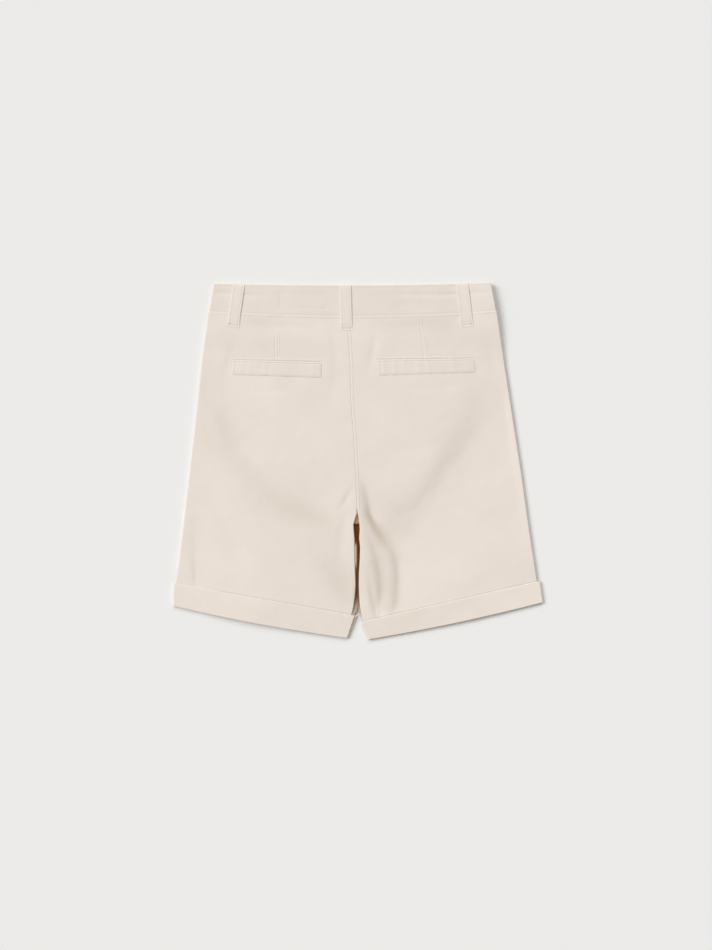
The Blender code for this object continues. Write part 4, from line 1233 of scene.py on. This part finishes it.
def loop_grid(loop, coarse, fine, side_roll, end_roll):
    """A loop's length, its plan points with their shares across it and distances down, its rounding."""
    length = float(np.hypot(loop.foot_x - loop.top_x, loop.foot_y - loop.top_y))
    across, down = grid_of(loop.width, length, coarse, fine, 1.6)
    edge = both_rounded(across, loop.width, side_roll, side_roll)
    edge = edge * both_rounded(down, length, end_roll, end_roll)
    u = across / loop.width
    return length, *loop_shape(loop, u, down, length), u, down, edge


def loop_rows(loop, length, *tacks):
    """The rows of topstitching down a loop, and the rows across it at distances from its foot."""
    at, share = np.linspace(0.6, length - 0.6, 30), np.linspace(0.1, 0.9, 8)
    down_it = [np.stack(loop_shape(loop, np.full(30, one), at, length), 1) for one in LOOP_STITCHES]
    across_it = [np.stack(loop_shape(loop, share, np.full(8, length - up), length), 1) for up in tacks]
    return down_it, across_it


for loop in BACK_LOOPS:
    length, x, y, u, down, edge = loop_grid(loop, 0.55, 0.16, 0.4, 0.7)
    outer = over_band(x, y) + loop_level(down, length, u)
    piece = slab(f"belt_loop_back_{loop.name}", x, y, outer, outer - LOOP_WALL, edge, leg_twill)

    def face(px, py, loop=loop, length=length):
        down = (loop.top_y - py) * length / (loop.top_y - loop.foot_y)
        return over_band(px, py) + loop_level(down, length, np.full(np.shape(px), LOOP_STITCHES[0]))

    rows, tacks = loop_rows(loop, length, LOOP_TACK_UP, LOOP_TACK_UP + 0.7)
    sewing = stitches(f"loop_stitching_back_{loop.name}", rows, face, pitch=2.8, length=2.1, thick=0.38)
    tack = stitches(f"loop_tack_back_{loop.name}", tacks, face, pitch=0.9, length=1.5, thick=0.4)
    sewn(piece, f"loop_back_{loop.name}", [sewing, tack])

for loop in FRONT_LOOPS:
    length, x, y, u, down, edge = loop_grid(loop, 0.8, 0.2, 0.5, 0.6)
    outer = 0.05 + 0.3 * ease((3.0 - down) / 3.0) + 0.15 * hump(length - down - LOOP_TACK_UP, 0.7)
    outer = outer + 0.5 * corner_lift(x, y) + 0.1 * hump(0.5 - np.abs(u - 0.5) - LOOP_STITCHES[0], 0.035)
    piece = slab(f"belt_loop_front_{loop.name}", x, y, outer + FRONT_LOOP_WALL, outer, edge, leg_twill)
    rows, tacks = loop_rows(loop, length, LOOP_TACK_UP)
    sewing = stitches(
        f"loop_stitching_front_{loop.name}", rows + tacks, lambda px, py: 0.15 + 0.5 * corner_lift(px, py),
        up=False, pitch=2.8, length=2.1, thick=0.38, sink=0.2)
    sewn(piece, f"loop_front_{loop.name}", [sewing])


# ---------------------------------------------------------------- the turn-ups
# The legs' hems are turned up outside, 25 mm deep, and pressed. The fold is at the bottom,
# and the loose edge lies against the leg. Each is sewn here as a back and a front half.

CUFF_LEVEL = 5.75
# How far the bottom hangs lower by the inseam, and the distance over which it rises again.
CUFF_DROP = {"left": (2.0, 120.0), "right": (2.2, 190.0)}
CUFF_TUCK = 0.1
CUFF_EDGE = {"left": 0.4, "right": 0.2}
# Painted light: the turn-ups' colour is lifted to offset the shade on their sloping faces, the right one
# more.
CUFF_PAINTED_LIGHT = {"left": (1.012, 1.006, 1.002), "right": (1.028, 1.022, 1.018)}
CUFF_DEPTH = 25.0
CUFF_WALL = 2.1
FRONT_CUFF_WALL = 1.8
CUFF_BOW = {"left": 2.4, "right": 2.2}
CUFF_FOLDS = (
    Fold("pucker by the inseam left", 1.6, (
        (-16, -164, 0.5, 1.5), (-14.5, -170, 0.2, 1.5), (-13, -176, 0.0, 1.5))),
    Fold("swell left", 2.0, (
        (-150, -146, 0.0, 5), (-110, -158, -0.15, 6), (-70, -163, 0.0, 6))),
    Fold("press line right", 2.0, (
        (60, -168, 0.0, 4), (100, -160, 0.12, 5), (140, -150, 0.0, 5))),
)


def cuff_face(x, y):
    """The height of a back turn-up's outer face."""
    x, y = np.asarray(x, float), np.asarray(y, float)
    level = CUFF_LEVEL - side_fall(x, np.maximum(y, -150.0))
    return level + relief(x, y, CUFF_FOLDS) + crumple(x, y, 21, 24.0, 0.05)


def front_cuff_face(x, y):
    """The height of a front turn-up's outer face, which lies on the floor."""
    return 0.03 + np.maximum(0.0, crumple(x, y, 22, 24.0, 0.05))


for half, corners in CUFFS.items():
    (ax, ay), (bx, by) = corners[:2]
    width = float(np.hypot(bx - ax, by - ay))
    across, down = grid_of(width, CUFF_DEPTH, 1.2, 0.24, 3.6)
    u, v = across / width, down / CUFF_DEPTH
    x, y = corners_at(corners, u, v)
    y = y - CUFF_BOW[half] * 4.0 * u * (1.0 - u) * v
    ends = both_rounded(across, width, 1.2, 1.2)
    # The turn-up's finish carries that painted light.
    finish = twill(f"twill turn-up {half}", tinted(CREAM, *CUFF_PAINTED_LIGHT[half]))
    drop, reach = CUFF_DROP[half]
    outer = cuff_face(x, y) - drop * v * (1.0 - ease((np.abs(x) - 30.0) / reach))
    outer = outer - CUFF_TUCK * (1.0 - ease(down / 3.0))
    rounding = ends * both_rounded(down, CUFF_DEPTH, CUFF_EDGE[half], 0.5)
    under = np.minimum(outer - CUFF_WALL, outer - (outer - 2.1) * ease((5.0 - CUFF_DEPTH + down) / 5.0))
    piece = slab(f"turn_up_back_{half}", x, y, outer, under, rounding, finish)
    sewn(piece, f"cuff_back_{half}")
    if half == "left":
        x = x + 3.0 * ease((u - 0.96) / 0.04) * (1.0 - 0.5 * v)
    outer = front_cuff_face(x, y)
    rounding = ends * both_rounded(down, CUFF_DEPTH, 0.6, 1.6)
    piece = slab(f"turn_up_front_{half}", x, y, outer + FRONT_CUFF_WALL, outer, rounding, finish)
    sewn(piece, f"cuff_front_{half}")


# ---------------------------------------------------------------- floor, light and camera
# A plain pale floor, a soft key light from the wearer's left, a weaker one from beyond the
# waist, and an even fill all round.

FLOOR = (0.862, 0.853, 0.836)
FLOOR_REACH = 4000.0
FLOOR_LEVEL = -0.4

paper = new_finish("floor paper", {
    "Base Color": (*FLOOR, 1.0), "Roughness": 0.95, "Specular IOR Level": 0.1})[0]
corners = [(FLOOR_REACH * x, FLOOR_REACH * y, FLOOR_LEVEL) for x, y in ((-1, -1), (1, -1), (1, 1), (-1, 1))]
floor = as_mesh("floor", corners, [(0, 1, 2, 3)], paper)

Light = namedtuple("Light", "name energy spread heading")
LIGHTS = (
    Light("key from the left", 1.93, 34, (0.93, -0.37, -0.96)),
    Light("light from the top", 0.93, 34, (0.0, -1.0, -0.96)),
)
for light in LIGHTS:
    lamp = bpy.data.lights.new(light.name, "SUN")
    lamp.energy = light.energy
    lamp.angle = radians(light.spread)
    lit = bpy.data.objects.new(light.name, lamp)
    lit.rotation_mode = "QUATERNION"
    lit.rotation_quaternion = Vector(light.heading).to_track_quat("-Z", "Y")
    bpy.context.scene.collection.objects.link(lit)

FILL_STRENGTH = 0.34
world = bpy.data.worlds.new("studio")
world.use_nodes = True
fill(world.node_tree.nodes["Background"], {"Color": (1.0, 1.0, 1.0, 1.0), "Strength": FILL_STRENGTH})
bpy.context.scene.world = world
bpy.context.scene.view_settings.view_transform = "Standard"

# The camera looks straight down. Its view is VIEW_REACH long, measured at the cloth's level.
CAMERA_AT = (-0.00217, -0.0146, 2.2)
CLOTH_TOP = 0.006
VIEW_REACH = 1.02885
SENSOR = 36.0
camera_data = bpy.data.cameras.new("camera")
camera_data.lens = SENSOR * (CAMERA_AT[2] - CLOTH_TOP) / VIEW_REACH
camera = bpy.data.objects.new("camera", camera_data)
camera.location = CAMERA_AT
bpy.context.scene.collection.objects.link(camera)
bpy.context.scene.camera = camera
